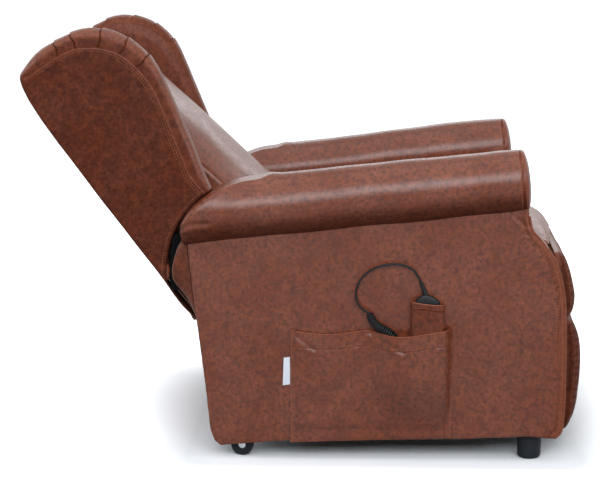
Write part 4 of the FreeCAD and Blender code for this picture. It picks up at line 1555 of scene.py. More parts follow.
@dataclass(frozen=True)
class Wing:
    """Wing of the back: flat outer panel, and a full rim that is pleated round its top."""

    side: Side
    rim: float = 275.0
    arc: float = 214.0
    pleats: tuple[tuple[Spot, Spot], ...] = (
        ((-422.0, 905.0), (-413.0, 885.0)),
        ((-385.0, 921.0), (-374.0, 900.0)),
        ((-321.0, 930.0), (-325.0, 903.0)),
        ((-264.0, 918.0), (-278.0, 887.0)),
        ((-223.0, 879.0), (-245.0, 858.0)),
    )

    def make(self) -> None:
        """Builds the wing's cover and its seams."""
        piece = upholster(f"wing_{self.side.word}", f"wing_cover_{self.side.word}", 2.6, 7)
        reshape(piece, to_rear(corners(piece)))
        rows = corners(piece)
        x = rows[:, 0] * self.side.sign
        far, _ = off_line(rows[:, 1:], smooth_line(WING_SEAM, 5.0))
        outer = ramp(x, 298, 306)
        height = -1.6 * bell(far - 1.0, 1.9) * outer
        flat, soft = lumps(rows, 110, 4.0) * 0.5 - 0.2, lumps(rows, 60, 9.0) * 0.4
        height += flat * outer + soft * (1 - outer)
        full = np.exp(-((rows[:, 1] + 455) ** 2 + (rows[:, 2] - 885) ** 2) / 2200)
        height += 5.0 * full * bell(x - self.rim, 30)
        crease = np.zeros(len(rows))
        for top, foot in self.pleats:
            lapped, groove = self.pleat(rows, x, top, foot)
            height += lapped
            crease = np.maximum(crease, groove)
        swell(piece, height)
        # Painted shade in the pleats' creases and along the seam's groove
        paint(piece, "seam", np.maximum(0.95 * crease, 0.45 * bell(far, 1.6) * outer))
        # Painted shade: the flat outer panel and the rim's inner faces are darker and duller
        paint(piece, "shade", 0.46 * outer * ramp(far, 0, 4) + 0.3 * ramp(x, 270, 252))
        edges = 0.14 * bell(far - 3, 2.2) * outer + 0.15 * ramp(x, 308, 296)
        paint(piece, "wear", edges * (1 - crease))
        reshape(piece, self.drawn_in(corners(piece)))
        cover = Cover(piece, "back")
        sign = self.side.sign
        seam = WING_SEAM + [on_circle(PIVOT, self.arc + 2, 126)]
        rows = self.drawn_in(np.array([(0.0, *at) for at in seam]))
        seam = [(float(row[1]), float(row[2])) for row in rows]
        cover.stitch(cover.from_side(inset(seam, 7.0)[1:], sign, 0.0), 6.5, 0.9)
        cover.stitch(cover.from_side(inset(seam, 12.0)[6:], sign, 0.0), 6.5, 0.9)
        cover.welt(cover.from_side(inset(seam, 1.0), sign, -0.0004), 1.1)
        foot_line = [on_circle(PIVOT, self.arc + 9, a) for a in np.linspace(127, 183, 24)]
        cover.stitch(cover.from_side(foot_line, sign, 0.0), 6.5, 0.9)
        cover.finished(f"wing_{self.side.word}")

    def drawn_in(self, rows: Rows) -> Rows:
        """Draws in the front of the left wing's rim, which is less full than the right one's.

        Args:
            rows: Corners of the cover, or places on it.

        Returns:
            The moved rows.
        """
        if self.side is Side.LEFT:
            _, out = rear_of(rows)
            heights = (560, 640, 692, 781, 840, 869, 899, 935)
            less = (0, 10, 17, 16, 13, 11, 8, 6)
            rows[:, 1] -= np.interp(rows[:, 2], heights, less) * ramp(out, 80, 180)
        return rows

    def pleat(
        self, rows: Rows, x: Rows, top: Spot, foot: Spot
    ) -> tuple[Rows, Rows]:
        """One lapped pleat, from the seam over the rim, that fades on the rim's inner side.

        Args:
            rows: The cover's corners.
            x: Their distances from the chair's middle plane.
            top: Where the pleat crosses the rim's furthest line.
            foot: Where it starts at the seam.

        Returns:
            How far each corner moves out, and how near it is to the crease, 0 to 1.
        """
        start = np.array(foot)
        way = np.array(top) - start
        length = float(np.linalg.norm(way))
        way /= length
        along = (rows[:, 1:] - start) @ way
        across = (rows[:, 1:] - start) @ np.array([way[1], -way[0]])
        across = across - 3.5 * np.sin(np.clip(along / length, 0, 1) * math.pi)
        fade = ramp(along, -6, 2) * ramp(x, self.rim - 30, self.rim)
        lap = 2.0 * np.exp(-np.clip(across, 0, None) / 14) * ramp(across, -1.3, 1.3)
        dip = -1.2 * np.exp(np.clip(across, None, 0) / 9) * ramp(across, 1.3, -1.3)
        groove = bell(across + 0.8, 1.5)
        return (lap + dip - 1.2 * groove) * fade, groove * fade


def rear_of(rows: Rows) -> tuple[Rows, Rows]:
    """Distances along the back's rear face and out from it."""
    forward, height = rows[:, 1] - BACK_FOOT[0], rows[:, 2] - BACK_FOOT[1]
    return COS_LEAN * height - SIN_LEAN * forward, COS_LEAN * forward + SIN_LEAN * height


def back_rows(rows: Rows, up: Rows, out: Rows) -> Rows:
    """Rows put at distances along the back's rear face and out from it."""
    forward = BACK_FOOT[0] - SIN_LEAN * up + COS_LEAN * out
    return np.stack([rows[:, 0], forward, BACK_FOOT[1] + COS_LEAN * up + SIN_LEAN * out], -1)


def rear_line(up: Rows) -> Rows:
    """Where the padded rear of the back stands, out from the straight rear face."""
    ups = (20, 100, 250, 405, 470, 518, 548, 566, 590)
    return np.interp(up, ups, (-18, -18, -19, -18, -16, -12, -5.5, 1, 9))


def to_rear(rows: Rows) -> Rows:
    """Draws the wings' leather out over the padded rear edge, along the round lower edge.

    Args:
        rows: The cover's corners.

    Returns:
        The moved corners.
    """
    up, out = rear_of(rows)
    share = ramp(out, 62, 11)
    moved = out + (rear_line(up) - 10.3) * share
    middle_up, middle_out, radius = -86.4, 170.2, Wing.arc

    def lower_edge(out_at: Rows) -> Rows:
        """Where the round lower edge lies at a distance out."""
        return middle_up + np.sqrt(np.clip(radius**2 - (out_at - middle_out) ** 2, 1, None))

    slide = (lower_edge(out) - lower_edge(moved)) * ramp(up - lower_edge(out), 150, 0)
    return back_rows(rows, up - slide, moved)


@dataclass(frozen=True)
class BackCushion:
    """Deep back cushion, tight and crowned, with a boxed side."""

    half: float = 227.0
    cap: float = 9.0

    def make(self) -> None:
        """Builds the cushion's cover and its seams."""
        piece = upholster("back_cushion", "back_cushion_cover", 6.0, 4)
        rows = corners(piece)
        _, out = rear_of(rows)
        away = np.hypot(rows[:, 1] - PIVOT[0], rows[:, 2] - PIVOT[1])
        free = ramp(out, 70, 120) * ramp(away, 140, 200)
        free *= ramp(self.half - np.abs(rows[:, 0]), 0, 14)
        swell(piece, -0.6 * self.cap * free)
        inflate(piece, free, self.cap)
        modify(piece, "SUBSURF", levels=1, render_levels=1)
        rows = corners(piece)
        edge = np.abs(np.abs(rows[:, 0]) - (self.half - 5))
        face = ramp(rear_of(rows)[1], 80, 110)
        swell(piece, lumps(rows, 80, 1.0) - 2.0 * bell(edge, 3.5) * face)
        # Painted shade in the groove of the boxed side's seam
        paint(piece, "seam", 0.5 * bell(edge, 2.0) * face)
        cover = Cover(piece, "back")
        front = [back_point(up, 360) for up in np.arange(60, 548, 6.0)]
        for sign in (-1, 1):
            starts = [place(sign * (self.half - 13), *at) for at in front]
            cover.sew(starts, Vector((0, COS_LEAN, -SIN_LEAN)))
        cover.finished("back_cushion")


@dataclass(frozen=True)
class BackPanel:
    """Rear panel of the back with its stitched border, and the tail that hangs below it."""

    half: float = 300.0
    lap: float = 44.0

    def make(self) -> None:
        """Builds the rear panel's cover and its seams."""
        piece = upholster("back_panel", "back_panel_cover", 4.5, 2)
        rows = corners(piece)
        up, out = rear_of(rows)
        hang = np.clip(-up, 0, None)
        crown = 4.0 * np.clip(1 - (rows[:, 0] / self.half) ** 2, 0, 1)
        crown = crown * ramp(up, 40, 160) * ramp(up, 560, 440)
        rear = ramp(out, 9, 1)
        padded = (rear_line(up) - 1.2 - crown - 0.1 * hang) * np.maximum(rear, ramp(up, 60, 40))
        low = 20 * ramp(up, 90, 44) * ramp(up, 20, 44)
        # The top edge laps over the back's frame, between the wings, as far as the cushion.
        lid = ramp(up, 549, 553) * ramp(out, 1.5, 9) * ramp(np.abs(rows[:, 0]), 250, 240)
        raised = np.where(up < 0, up * 1.19, up) - low - 7 * lid
        reshape(piece, back_rows(rows, raised, out + padded + self.lap * lid))
        swell(piece, (lumps(rows, 120, 6.0) * 0.9 - 0.5) * rear)
        cover = Cover(piece, "back")
        aim = Vector((0, -COS_LEAN, SIN_LEAN))
        for x in (-(self.half - 10), 0.0, self.half - 10):
            cover.sew([place(x, *back_point(up, -60)) for up in np.arange(56, 548, 6.0)], aim)
        for up, reach in ((548.0, 288.0), (62.0, 288.0), (36.0, 230.0)):
            cover.sew([place(x, *back_point(up, -60)) for x in np.arange(-reach, reach, 6.0)], aim)
        cover.finished("back_panel")


# Seat and leg rest


@dataclass(frozen=True)
class SeatCushion:
    """Seat cushion with a crowned top and a full front roll."""

    half: float = 249.0
    cap: float = 8.0

    def make(self) -> None:
        """Builds the cushion's cover and its seams."""
        piece = upholster("seat_cushion", "seat_cushion_cover", 6.0, 4)
        rows = corners(piece)
        free = ramp(rows[:, 2], 440, 480) * ramp(rows[:, 1], 190, 260) * ramp(rows[:, 1], 668, 600)
        free *= ramp(self.half - np.abs(rows[:, 0]), 0, 16)
        swell(piece, -0.6 * self.cap * free)
        inflate(piece, free, self.cap)
        modify(piece, "SUBSURF", levels=1, render_levels=1)
        rows = corners(piece)
        edge = np.abs(np.abs(rows[:, 0]) - (self.half - 6))
        top = ramp(rows[:, 2], 455, 480)
        swell(piece, lumps(rows, 85, 8.0) * 0.9 - 2.2 * bell(edge, 3.5) * top)
        rows = corners(piece)
        rows[:, 0] = np.clip(rows[:, 0], -self.half, self.half)
        reshape(piece, rows)
        # Painted shade in the groove of the top's side seam
        paint(piece, "seam", 0.5 * bell(edge, 2.0) * top)
        cover = Cover(piece, "carriage")
        line = smooth_line(((200, 640), (560, 640), (640, 600), (700, 520), (720, 470)), 6.0)
        for sign in (-1, 1):
            starts = [place(sign * (self.half - 14), *at) for at in line]
            slants = [0.001 + max(0.0, at[0] - 540) / 130 for at in line]
            aims = [Vector((0, slant, -1)).normalized() for slant in slants]
            cover.stitch(cover.lay(starts, aims, ON_TOP))
        cover.finished("seat_cushion")


@dataclass(frozen=True)
class LegRestPad:
    """One pad of the leg rest: a full crowned front, puckered where its sides are sewn on."""

    node: str
    low: float
    high: float
    half: float = 240.0
    board: float = 666.0
    cap: float = 7.0
    corner: float = 44.0

    def make(self) -> None:
        """Builds the pad's cover and its seams."""
        piece = upholster(self.node, self.node + "_cover", 5.0, 3)
        rows = corners(piece)
        front = ramp(rows[:, 1], self.board + 6, self.board + 24)
        free = front * ramp(self.half - np.abs(rows[:, 0]), 0, 10)
        above = ramp(rows[:, 2], self.low + 2, self.low + 16)
        free *= above * ramp(rows[:, 2], self.high - 2, self.high - 16)
        inflate(piece, free, self.cap)
        modify(piece, "SUBSURF", levels=1, render_levels=1)
        rows = corners(piece)
        inside = self.half - np.abs(rows[:, 0])
        short = np.clip(self.corner - inside, 0, self.corner)
        drop = 1 - np.sqrt(np.clip(1 - (short / self.corner) ** 2, 0, 1))
        depth = rows[:, 1] - self.board
        rows[:, 1] -= depth * drop * 0.7 * ramp(rows[:, 1], self.board, self.board + 20)
        heights = (40, 69, 97, 125, 290, 345, 373, 440)
        fuller = np.interp(rows[:, 2], heights, (11, 10, 8, 6, 5, 4.5, 2, 0))
        rows[:, 1] += fuller * ramp(rows[:, 1], self.board + 4, self.board + 30)
        reshape(piece, rows)
        front = ramp(rows[:, 1], self.board + 6, self.board + 24)
        pucker = np.sin(rows[:, 2] / 17 * 2 * math.pi + np.sin(rows[:, 2] / 31))
        pucker = pucker * bell(inside - 20, 14)
        height = lumps(rows, 75, 2.5) * 1.1 * front + 0.3 * pucker * front
        swell(piece, height - 1.6 * bell(inside - 6, 3) * front)
        # Painted shade in the side seam's groove and in the troughs of the puckers
        groove = 0.45 * bell(inside - 6, 2.0) * front
        paint(piece, "seam", groove + 0.15 * np.clip(-pucker, 0, 1) * front)
        # Painted shade: the pad's front is darker and duller
        paint(piece, "shade", 0.4 * front)
        cover = Cover(piece, "legrest")
        heights = np.arange(self.low + 14, self.high - 10, 5.0)
        for x in (-(self.half - 12), self.half - 12):
            cover.sew([place(x, 800, z) for z in heights], Vector((0, 1, 0)))
        cover.finished(self.node)


# Side pocket and hand control


@dataclass(frozen=True)
class SidePocket:
    """Leather pocket sewn to the right side, with a hem, a pouch in it and a blank sewn tag."""

    face: float = 343.4
    rear: float = 90.0
    divide: float = 250.0
    front: float = 443.0
    low: float = 39.5
    skin: float = 2.2
    full: float = 33.0
    hem: float = 33.0
    top: Spots = (
        (90, 292.5), (112, 289), (145, 285), (171, 284), (205, 286.5),
        (235, 291.5), (259, 294), (285, 290), (318, 286.5), (350, 287),
        (382, 292.5), (412, 298), (443, 302.5),
    )

    def top_at(self, forward: Rows) -> Rows:
        """Height of the pocket's open edge."""
        line = smooth_line(self.top, 3.0)
        return np.interp(forward, line[:, 0], line[:, 1])

    def foot_at(self, forward: Rows) -> Rows:
        """Height of the pocket's lower edge, which rises a little to the front."""
        return self.low + 14.0 * (forward - self.rear) / (self.front - self.rear)

    def depth(self, forward: Rows, height: Rows) -> Rows:
        """How far the pocket stands off the side panel.

        Args:
            forward: Forward places.
            height: Their heights.

        Returns:
            Millimetres.
        """
        flat = 5.0 * ramp(forward, self.rear, self.rear + 16)
        flat = flat * ramp(height, self.low + 14, self.low + 54)
        rise = ramp(forward, self.divide - 4, self.divide + 80)
        rise = rise * ramp(forward, self.front, self.front - 17)
        bulge = self.full * rise * ramp(height, self.low + 18, 200)
        flat *= ramp(forward, self.front, self.front - 16)
        return np.maximum(flat, bulge) + 0.3 * np.minimum(flat, bulge)

    def shape(self, across: Rows, up: Rows) -> Rows:
        """Rows of the pocket's middle surface.

        Args:
            across: Shares 0 to 1 of the way across.
            up: Shares 0 to 1 of the way along.

        Returns:
            Rows of sideways, forward and up in millimetres.
        """
        forward = self.rear + across * (self.front - self.rear)
        top = self.top_at(forward)
        low = self.foot_at(forward)
        height = low + up * (top - low)
        rows = np.stack([forward, height], -1)
        out = self.depth(forward, height)
        slope = top - height
        for start, end, depth in (
            ((93, 288), (142, 250), 1.3),
            ((260, 292), (335, 252), 1.3),
            ((256, 292), (232, 262), 0.7),
            ((438, 298), (412, 266), 0.8),
        ):
            far, along = off_line(rows, smooth_line((start, end), 5.0))
            out += depth * (bell(far - 9, 7.0) - bell(far, 6.0)) * ramp(along, -5, 8)
        out += 0.6 * lumps(np.stack([forward * 0, forward, height], -1), 60, 3.3)
        out -= 0.8 * bell(slope - self.hem, 2.0)
        out += 0.4 * np.sin(forward / 23) * ramp(slope, 30, 0)
        edge = np.minimum(np.minimum(forward - self.rear, self.front - forward), height - low)
        out = np.where(edge < 0.5, 0.4, np.maximum(out, 0.6 + 1.2 * ramp(edge, 0, 8)))
        return np.stack([-(self.face + self.skin / 2 + out), forward, height], -1)

    def make(self) -> None:
        """Builds the pocket, its pouch and its tag."""
        pocket = formed_sheet("pocket_leather", 150, 110, self.shape, self.skin)
        rows = corners(pocket)
        slope = self.top_at(rows[:, 1]) - rows[:, 2]
        # Painted shade in the hem's groove and along the front seam
        groove = 0.25 * bell(slope - self.hem, 1.4)
        paint(pocket, "seam", groove + 0.3 * bell(rows[:, 1] - self.front + 14, 2.0))
        paint(pocket, "wear", 0.5 * bell(slope, 5))
        cover = Cover(pocket, "carriage")
        spans = np.arange(self.rear + 4, self.front - 3, 5.0)
        hem = [(s, float(self.top_at(s)) - self.hem + 3) for s in spans]
        cover.stitch(cover.from_side(hem, -1, ON_TOP), 5.0, 1.2)
        for s in (self.rear + 3.5, self.front - 3.5, self.front - 12.5):
            upright = ((s, float(self.foot_at(s)) + 2), (s, 150), (s, float(self.top_at(s)) - 2))
            cover.stitch(cover.from_side(upright, -1, 0.0), 7.0, 0.9)
        rim = [(s, float(self.top_at(s)) - 0.8) for s in np.arange(self.rear, self.front, 5.0)]
        cover.welt(cover.from_side(rim, -1, -0.0006), 1.5)
        self.leave(cover, "side_pocket")
        self.make_pouch()
        self.make_tag()

    def leave(self, cover: Cover, node: str) -> None:
        """Dresses a sheet of leather with its seams, puts it on the carriage, and reports it.

        Args:
            cover: The sheet and what is sewn on it.
            node: CAD solid that it stands for.
        """
        piece = dress(cover.piece, Finish.LEATHER)
        seams = cover.seams("edge", 0.6)
        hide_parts(node)
        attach(piece, "carriage")
        LOG.info("%s sewn on", piece.name)

    def pouch_shape(self, across: Rows, up: Rows) -> Rows:
        """Rows of the pouch's wall, from its rear seam round its outside to its front seam.

        Args:
            across: Shares 0 to 1 of the way across.
            up: Shares 0 to 1 of the way along.

        Returns:
            Rows of sideways, forward and up in millimetres.
        """
        rear, front, low, top = 352.8, 423.2, 197.0, 358.0
        inner, outer, corner = 344.6, 371.2, 9.0
        run = np.array([outer - inner - corner, math.pi / 2 * corner, front - rear - 2 * corner])
        walk = np.r_[0, np.cumsum([run[0], run[1], run[2], run[1], run[0]])]
        at = across * walk[-1]
        turn_in = np.clip((at - walk[1]) / run[1], 0, 1) * math.pi / 2
        turn_out = np.clip((at - walk[3]) / run[1], 0, 1) * math.pi / 2
        x = inner + np.clip(at, 0, run[0]) + corner * np.sin(turn_in)
        x -= corner * (1 - np.cos(turn_out)) + np.clip(at - walk[4], 0, run[0])
        forward = rear + corner * (1 - np.cos(turn_in)) + np.clip(at - walk[2], 0, run[2])
        forward += corner * np.sin(turn_out)
        lift = 4.0 * np.cos(across * math.pi) + 1.5 * np.cos(across * 2 * math.pi)
        height = low + up * (top + lift - low)
        slack = 0.5 * np.sin(height / 13 + across * 9)
        slack = slack * ramp(across, 0.1, 0.3) * ramp(across, 0.9, 0.7)
        return np.stack([-(x + slack * 0.8), forward, height], -1)

    def make_pouch(self) -> None:
        """The open pouch that holds the hand control."""
        pouch = formed_sheet("pouch_leather", 60, 60, self.pouch_shape, self.skin)
        rows = corners(pouch)
        hem = 351.0 - 8.0 * (rows[:, 1] - 352.8) / 70.4
        # Painted shade along the hem's seam
        paint(pouch, "seam", 0.5 * bell(rows[:, 2] - hem + 2, 1.5))
        paint(pouch, "wear", 0.4 * ramp(rows[:, 2] - hem, 4, 11))
        # Painted shade: the whole pouch is darker and duller
        paint(pouch, "shade", np.full(len(rows), 0.25))
        cover = Cover(pouch, "carriage")
        cover.stitch(cover.from_side(((356, 350), (388, 347), (420, 343)), -1, 0.0, 3.0), 6.0, 0.9)
        cover.welt(self.rim_line(0.6), 1.7)
        self.leave(cover, "handset_pouch")

    def rim_line(self, below: float) -> list[Vector]:
        """Places round the pouch's open edge.

        Args:
            below: How far below the edge in millimetres.

        Returns:
            Places in metres.
        """
        share = np.linspace(0, 1, 50)
        rows = self.pouch_shape(share, np.ones(50))
        return [place(row[0], row[1], row[2] - below) for row in rows]

    def make_tag(self) -> None:
        """The small blank tag sewn into the pocket's rear seam."""

        def shape(across: Rows, up: Rows) -> Rows:
            """Rows of the tag, which leans a little off the panel.

            Args:
                across: Shares 0 to 1 of the way across.
                up: Shares 0 to 1 of the way along.

            Returns:
                Rows of sideways, forward and up in millimetres.
            """
            forward = 92.0 - 18.0 * across + 2.0 * up
            out = self.face + 1.2 + 2.5 * across**2 + 0.5 * np.sin(up * 4)
            return np.stack([-out, forward, 170.0 + 62.0 * up - 1.5 * across], -1)

        tag = dress(formed_sheet("blank_tag", 14, 40, shape, 0.5), Finish.TAPE)
        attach(tag, "carriage")


@dataclass(frozen=True)
class HandControl:
    """Hand control with a domed top, and the ribbed sleeve that its cable leaves through."""

    rear: float = 362.0
    front: float = 414.0
    top: float = 376.0
    domed: float = 17.0
    sleeve: tuple[Spot, Spot] = ((384.0, 376.0), (372.0, 404.0))

    def make(self) -> None:
        """Builds the shell and the sleeve."""
        shell = upholster("handset_shell", "handset_body", 1.1, 2)
        rows = corners(shell)
        middle = (self.rear + self.front) / 2
        dome = np.clip((rows[:, 2] - (self.top - self.domed)) / self.domed, 0, 1)
        narrow = 1 - np.sqrt(np.clip(1 - dome**2 * 0.94, 0, 1))
        rows[:, 1] += (middle + 2 - rows[:, 1]) * narrow * 0.8
        rows[:, 0] += (HANDSET_SIDE - rows[:, 0]) * narrow * 0.35
        fallen = 9.0 * ramp(rows[:, 1], middle - 4, self.front)
        rows[:, 2] -= (fallen + 3.0 * ramp(rows[:, 1], middle - 8, self.rear)) * dome
        reshape(shell, rows)
        dress(shell, Finish.HANDSET)
        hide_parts("handset_shell")
        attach(shell, "handset")
        self.make_sleeve()

    def make_sleeve(self) -> None:
        """Ribs on the cable's tapered sleeve."""
        start, end = (place(HANDSET_SIDE, *at) for at in self.sleeve)
        aim = (end - start).normalized()
        rings = []
        for share in (0.25, 0.42, 0.59, 0.76):
            deselect()
            radius = (5.5 - 2.1 * share) * MM
            bpy.ops.mesh.primitive_torus_add(
                location=start + (end - start) * share,
                rotation=aim.to_track_quat("Z", "Y").to_euler(),
                major_radius=radius,
                minor_radius=0.8 * MM,
                major_segments=32,
                minor_segments=8,
            )
            rings.append(settle(added("rib")))
        ribs = dress(joined("sleeve_ribs", rings), Finish.JACKET)
        pick(ribs)
        bpy.ops.object.shade_smooth()
        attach(ribs, "handset")


# Frame and small parts


@dataclass(frozen=True)
class Mechanism:
    """Steel frame, boards, springs, wheels and drives, with the pins and bolts that hold them.

    The finishes name the frame's nodes. Each pin has its body, its two ends along X, and its place.
    """

    finishes: tuple[tuple[Finish, tuple[str, ...]], ...] = (
        (Finish.COAT, ("floor_side_rails", "front_cross_tube", "rear_cross_tube")),
        (Finish.COAT, ("wheel_brackets", "lift_pivot_ears", "front_lift_arms", "rear_lift_arms")),
        (Finish.COAT, ("carriage_side_rails", "carriage_cross_tubes", "carriage_pivot_plates")),
        (Finish.COAT, ("back_hinge_plates", "legrest_drive_arms", "legrest_stay_arms")),
        (Finish.COAT, ("legrest_brackets",)),
        (Finish.ZINC, ("wheel_axles", "base_hinge_pins", "carriage_hinge_pins")),
        (Finish.SPRING, ("seat_springs", "back_springs")),
        (Finish.PLY, ("side_board_right", "side_board_left", "seat_rails")),
        (Finish.PLY, ("back_frame_rails", "legrest_board")),
        (Finish.CASING, ("control_box", "power_inlet", "lift_actuator_body")),
        (Finish.CASING, ("back_actuator_body", "legrest_actuator_body")),
        (Finish.CHROME, ("lift_actuator_rod", "back_actuator_rod", "legrest_actuator_rod")),
        (Finish.FOOT, ("front_feet",)),
        (Finish.TYRE, ("wheel_right", "wheel_left")),
        (Finish.HANDSET, ("cord_grommet",)),
        (Finish.JACKET, ("cable_strain_relief",)),
        (Finish.BUTTON, ("button_back_up", "button_back_down")),
        (Finish.BUTTON, ("button_lift_up", "button_lift_down")),
    )
    pin_radius: float = 6.0
    pins: tuple[tuple[str, str, float, float, Spot], ...] = (
        ("lift_clevis_pin", "lift_arms", -19.0, 19.0, (425.4, 206.5)),
        ("back_clevis_pin", "back", 71.0, 109.0, (-28.0, 318.0)),
        ("legrest_clevis_pin", "legrest_arms", -109.0, -71.0, (532.4, 348.7)),
        ("stay_head_pin_right", "carriage", -254.0, -238.0, (120.0, 190.0)),
        ("stay_head_pin_left", "carriage", 238.0, 254.0, (120.0, 190.0)),
        ("legrest_stay_pin_right", "legrest", -222.0, -204.0, (631.0, 400.0)),
        ("legrest_stay_pin_left", "legrest", 204.0, 222.0, (631.0, 400.0)),
    )

    def make(self) -> None:
        """Dresses the frame's nodes and adds the pins and bolts."""
        for finish, nodes in self.finishes:
            for node in nodes:
                dress(FRAME["nodes"][node], finish)
        for pin in self.pins:
            self.pin(*pin)
        self.bolts()

    def pin(self, name: str, body: str, start: float, end: float, at: Spot) -> None:
        """Adds a headed pin along X with a snap ring at its other end.

        Args:
            name: The pin's name.
            body: The body that it rides on.
            start: Its end with the ring, in millimetres sideways.
            end: Its end with the head.
            at: Its place in side view.
        """
        shank = (start, end, self.pin_radius)
        head = (end - 1.5, end + 1.5, self.pin_radius + 3)
        ring = (start, start + 1.2, self.pin_radius + 1.6)
        parts = [
            self.bar(place((low + high) / 2, *at), wide, high - low, 32, 0.5)
            for low, high, wide in (shank, head, ring)
        ]
        pin = dress(joined(name, parts), Finish.ZINC)
        pick(pin)
        bpy.ops.object.shade_smooth_by_angle(angle=0.6)
        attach(pin, body)

    def bolts(self) -> None:
        """Adds the hexagon bolts of the side boards and of the back's hinges."""
        for name, body, x, spots in (
            ("carriage_bolts", "carriage", 301.0, ((105, 258), (565, 130))),
            ("hinge_bolts", "back", 240.0, (back_point(30, 27), back_point(85, 27))),
        ):
            places = [place(side * x, *spot) for side in (-1, 1) for spot in spots]
            bolts = joined(name, [self.bar(at, 7, 5, 6, 0.8) for at in places])
            dress(bolts, Finish.ZINC)
            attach(bolts, body)

    @staticmethod
    def bar(at: Vector, radius: float, length: float, sides: int, edge: float) -> Piece:
        """Short bar along X with bevelled ends, in millimetres.

        Args:
            at: Its middle in metres.
            radius: Its radius.
            length: Its length.
            sides: Number of its sides.
            edge: Width of its bevels.

        Returns:
            The bar.
        """
        deselect()
        bpy.ops.mesh.primitive_cylinder_add(
            vertices=sides,
            radius=radius * MM,
            depth=length * MM,
            location=at,
            rotation=(0, math.pi / 2, 0),
        )
        return modify(settle(added("bar")), "BEVEL", width=edge * MM, segments=2)


@dataclass(frozen=True)
class RearSkirt:
    """Covered board across the chair's back, below the reclining back."""

    reach: float = 290.0
    borders: Spot = (74.0, 250.0)

    def make(self) -> None:
        """Builds the skirt's cover and its border of stitches."""
        piece = upholster("rear_skirt", "rear_skirt_cover", 4.0, 2)
        swell(piece, lumps(corners(piece), 90, 5.5) * 0.7 - 0.8)
        cover = Cover(piece, "carriage")
        across = np.arange(-self.reach, self.reach + 1, 6.0)
        for z in self.borders:
            cover.sew([place(x, -160, z) for x in across], Vector((0, -1, 0)))
        cover.finished("rear_skirt")


@dataclass(frozen=True)
class RearGusset:
    """Loose flap of leather behind a side panel, and the black lining inside it."""

    side: Side
    seam: Spots = ((-134.0, 480.0), (-133.0, 456.0), (-125.0, 379.0), (-116.0, 318.0))
    raw: Spots = (
        (-147, 482), (-156, 466), (-167, 428), (-168, 409),
        (-163, 391), (-138, 358), (-120, 322),
    )
    lining_side: float = 300.0
    lining_inner: float = 118.0
    lining_outer: float = 207.0

    def shape(self, across: Rows, up: Rows) -> Rows:
        """Rows of the flap, which turns in towards its raw edge.

        Args:
            across: Shares 0 to 1 of the way across.
            up: Shares 0 to 1 of the way along.

        Returns:
            Rows of sideways, forward and up in millimetres.
        """
        lines = (smooth_line(line, 2.0) for line in (self.seam, self.raw))
        seam, raw = (np.stack(walked(line, up), -1) for line in lines)
        side_view = seam + (raw - seam) * across[:, None]
        x = 334 - 15 * across**1.4 + 1.5 * np.sin(up * 7) * across
        return np.column_stack([self.side.sign * x, side_view])

    def make(self) -> None:
        """Builds the flap with its raw edge, and the lining."""
        name = f"gusset_flap_{self.side.word}"
        flap = dress(formed_sheet(name, 16, 50, self.shape, 1.8), Finish.LEATHER)
        # Painted shade: the whole flap is darker and duller
        paint(flap, "shade", np.full(len(flap.data.vertices), 0.3))
        border = [place(*row) for row in self.shape(np.ones(50), np.linspace(0, 1, 50))]
        edge = dress(tube(f"gusset_edge_{self.side.word}", border, 1.2 * MM), Finish.EDGE)
        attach(edge, "carriage")
        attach(flap, "carriage")
        self.make_lining()

    def lining(self, across: Rows, up: Rows) -> Rows:
        """Rows of the lining, from the side board to just inside the wing's lower edge.

        Args:
            across: Shares 0 to 1 of the way across.
            up: Shares 0 to 1 of the way along.

        Returns:
            Rows of sideways, forward and up in millimetres.
        """
        outer = self.lining_outer - 4 * np.sin(across * math.pi)
        radius = self.lining_inner + (outer - self.lining_inner) * across
        turn = np.radians(118 + 74 * (1 - up))
        x = np.full(len(across), self.side.sign * self.lining_side)
        return np.stack([x, PIVOT[0] + radius * np.cos(turn), PIVOT[1] + radius * np.sin(turn)], -1)

    def make_lining(self) -> None:
        """The black lining round the recline pivot."""
        name = f"side_lining_{self.side.word}"
        cloth = dress(formed_sheet(name, 20, 40, self.lining, 0.8), Finish.LINING)
        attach(cloth, "carriage")


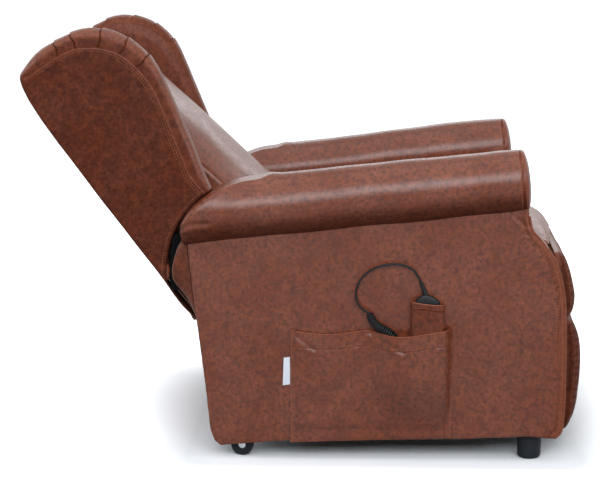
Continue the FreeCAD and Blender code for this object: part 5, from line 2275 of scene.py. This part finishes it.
# How the tail's strips fall: distances along the back's rear face and out from it.
OUTER_FALL = ((36.0, -16.5), (0.0, -19.5), (-36.0, -20.0), (-65.0, -17.0), (-86.0, -15.0))
INNER_FALL = ((32.0, -9.0), (-14.0, -7.0), (-44.0, -6.5), (-70.0, -7.5))


@dataclass(frozen=True)
class TailStrip:
    """One of two layers of leather that hang from the back's lower edge beside the tail."""

    side: Side
    layer: str
    outside: float
    inside: float
    fall: Spots

    def shape(self, across: Rows, up: Rows) -> Rows:
        """Rows of the strip, from the back's lower edge down.

        Args:
            across: Shares 0 to 1 of the way across.
            up: Shares 0 to 1 of the way along.

        Returns:
            Rows of sideways, forward and up in millimetres.
        """
        along, out = walked(smooth_line(self.fall, 2.0), up)
        x = self.side.sign * (self.inside + (self.outside - self.inside) * across)
        waved = along + 1.5 * np.sin(across * 5) * up
        return back_rows(x[:, None], waved, out - 1.2 * np.sin(across * 4) * up)

    def make(self) -> None:
        """Builds the strip and its raw edge."""
        name = f"tail_strip_{self.layer}_{self.side.word}"
        strip = dress(formed_sheet(name, 24, 36, self.shape, 1.8), Finish.LEATHER)
        # Painted shade: the whole strip is darker and duller
        paint(strip, "shade", np.full(len(strip.data.vertices), 0.2))
        border = [place(*row) for row in self.shape(np.ones(36), np.linspace(0, 1, 36))]
        edge = dress(tube(f"{name}_edge", border, 1.1 * MM), Finish.EDGE)
        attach(edge, "back")
        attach(strip, "back")


def main() -> None:
    """Builds the chair's visible pieces, sub-assembly by sub-assembly."""
    logging.basicConfig(level=logging.INFO, format="%(relativeCreated)d %(message)s")
    PhotoCamera().make()
    HandsetCable().make()
    Studio().make()
    Mechanism().make()
    HandControl().make()
    SidePocket().make()
    for side in Side:
        SidePanel(side).make()
        ArmRoll(side).make()
        Wing(side).make()
        RearGusset(side).make()
        TailStrip(side, "outer", 298.0, 236.0, OUTER_FALL).make()
        TailStrip(side, "inner", 295.0, 228.0, INNER_FALL).make()
    ArmFacings().make()
    RearSkirt().make()
    BackPanel().make()
    BackCushion().make()
    SeatCushion().make()
    LegRestPad("legrest_upper_pad", 297.0, 451.0).make()
    LegRestPad("legrest_lower_pad", 40.0, 294.0).make()
    deselect()
    LOG.info("dressed")


if __name__ == "__main__":
    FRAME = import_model()
    main()
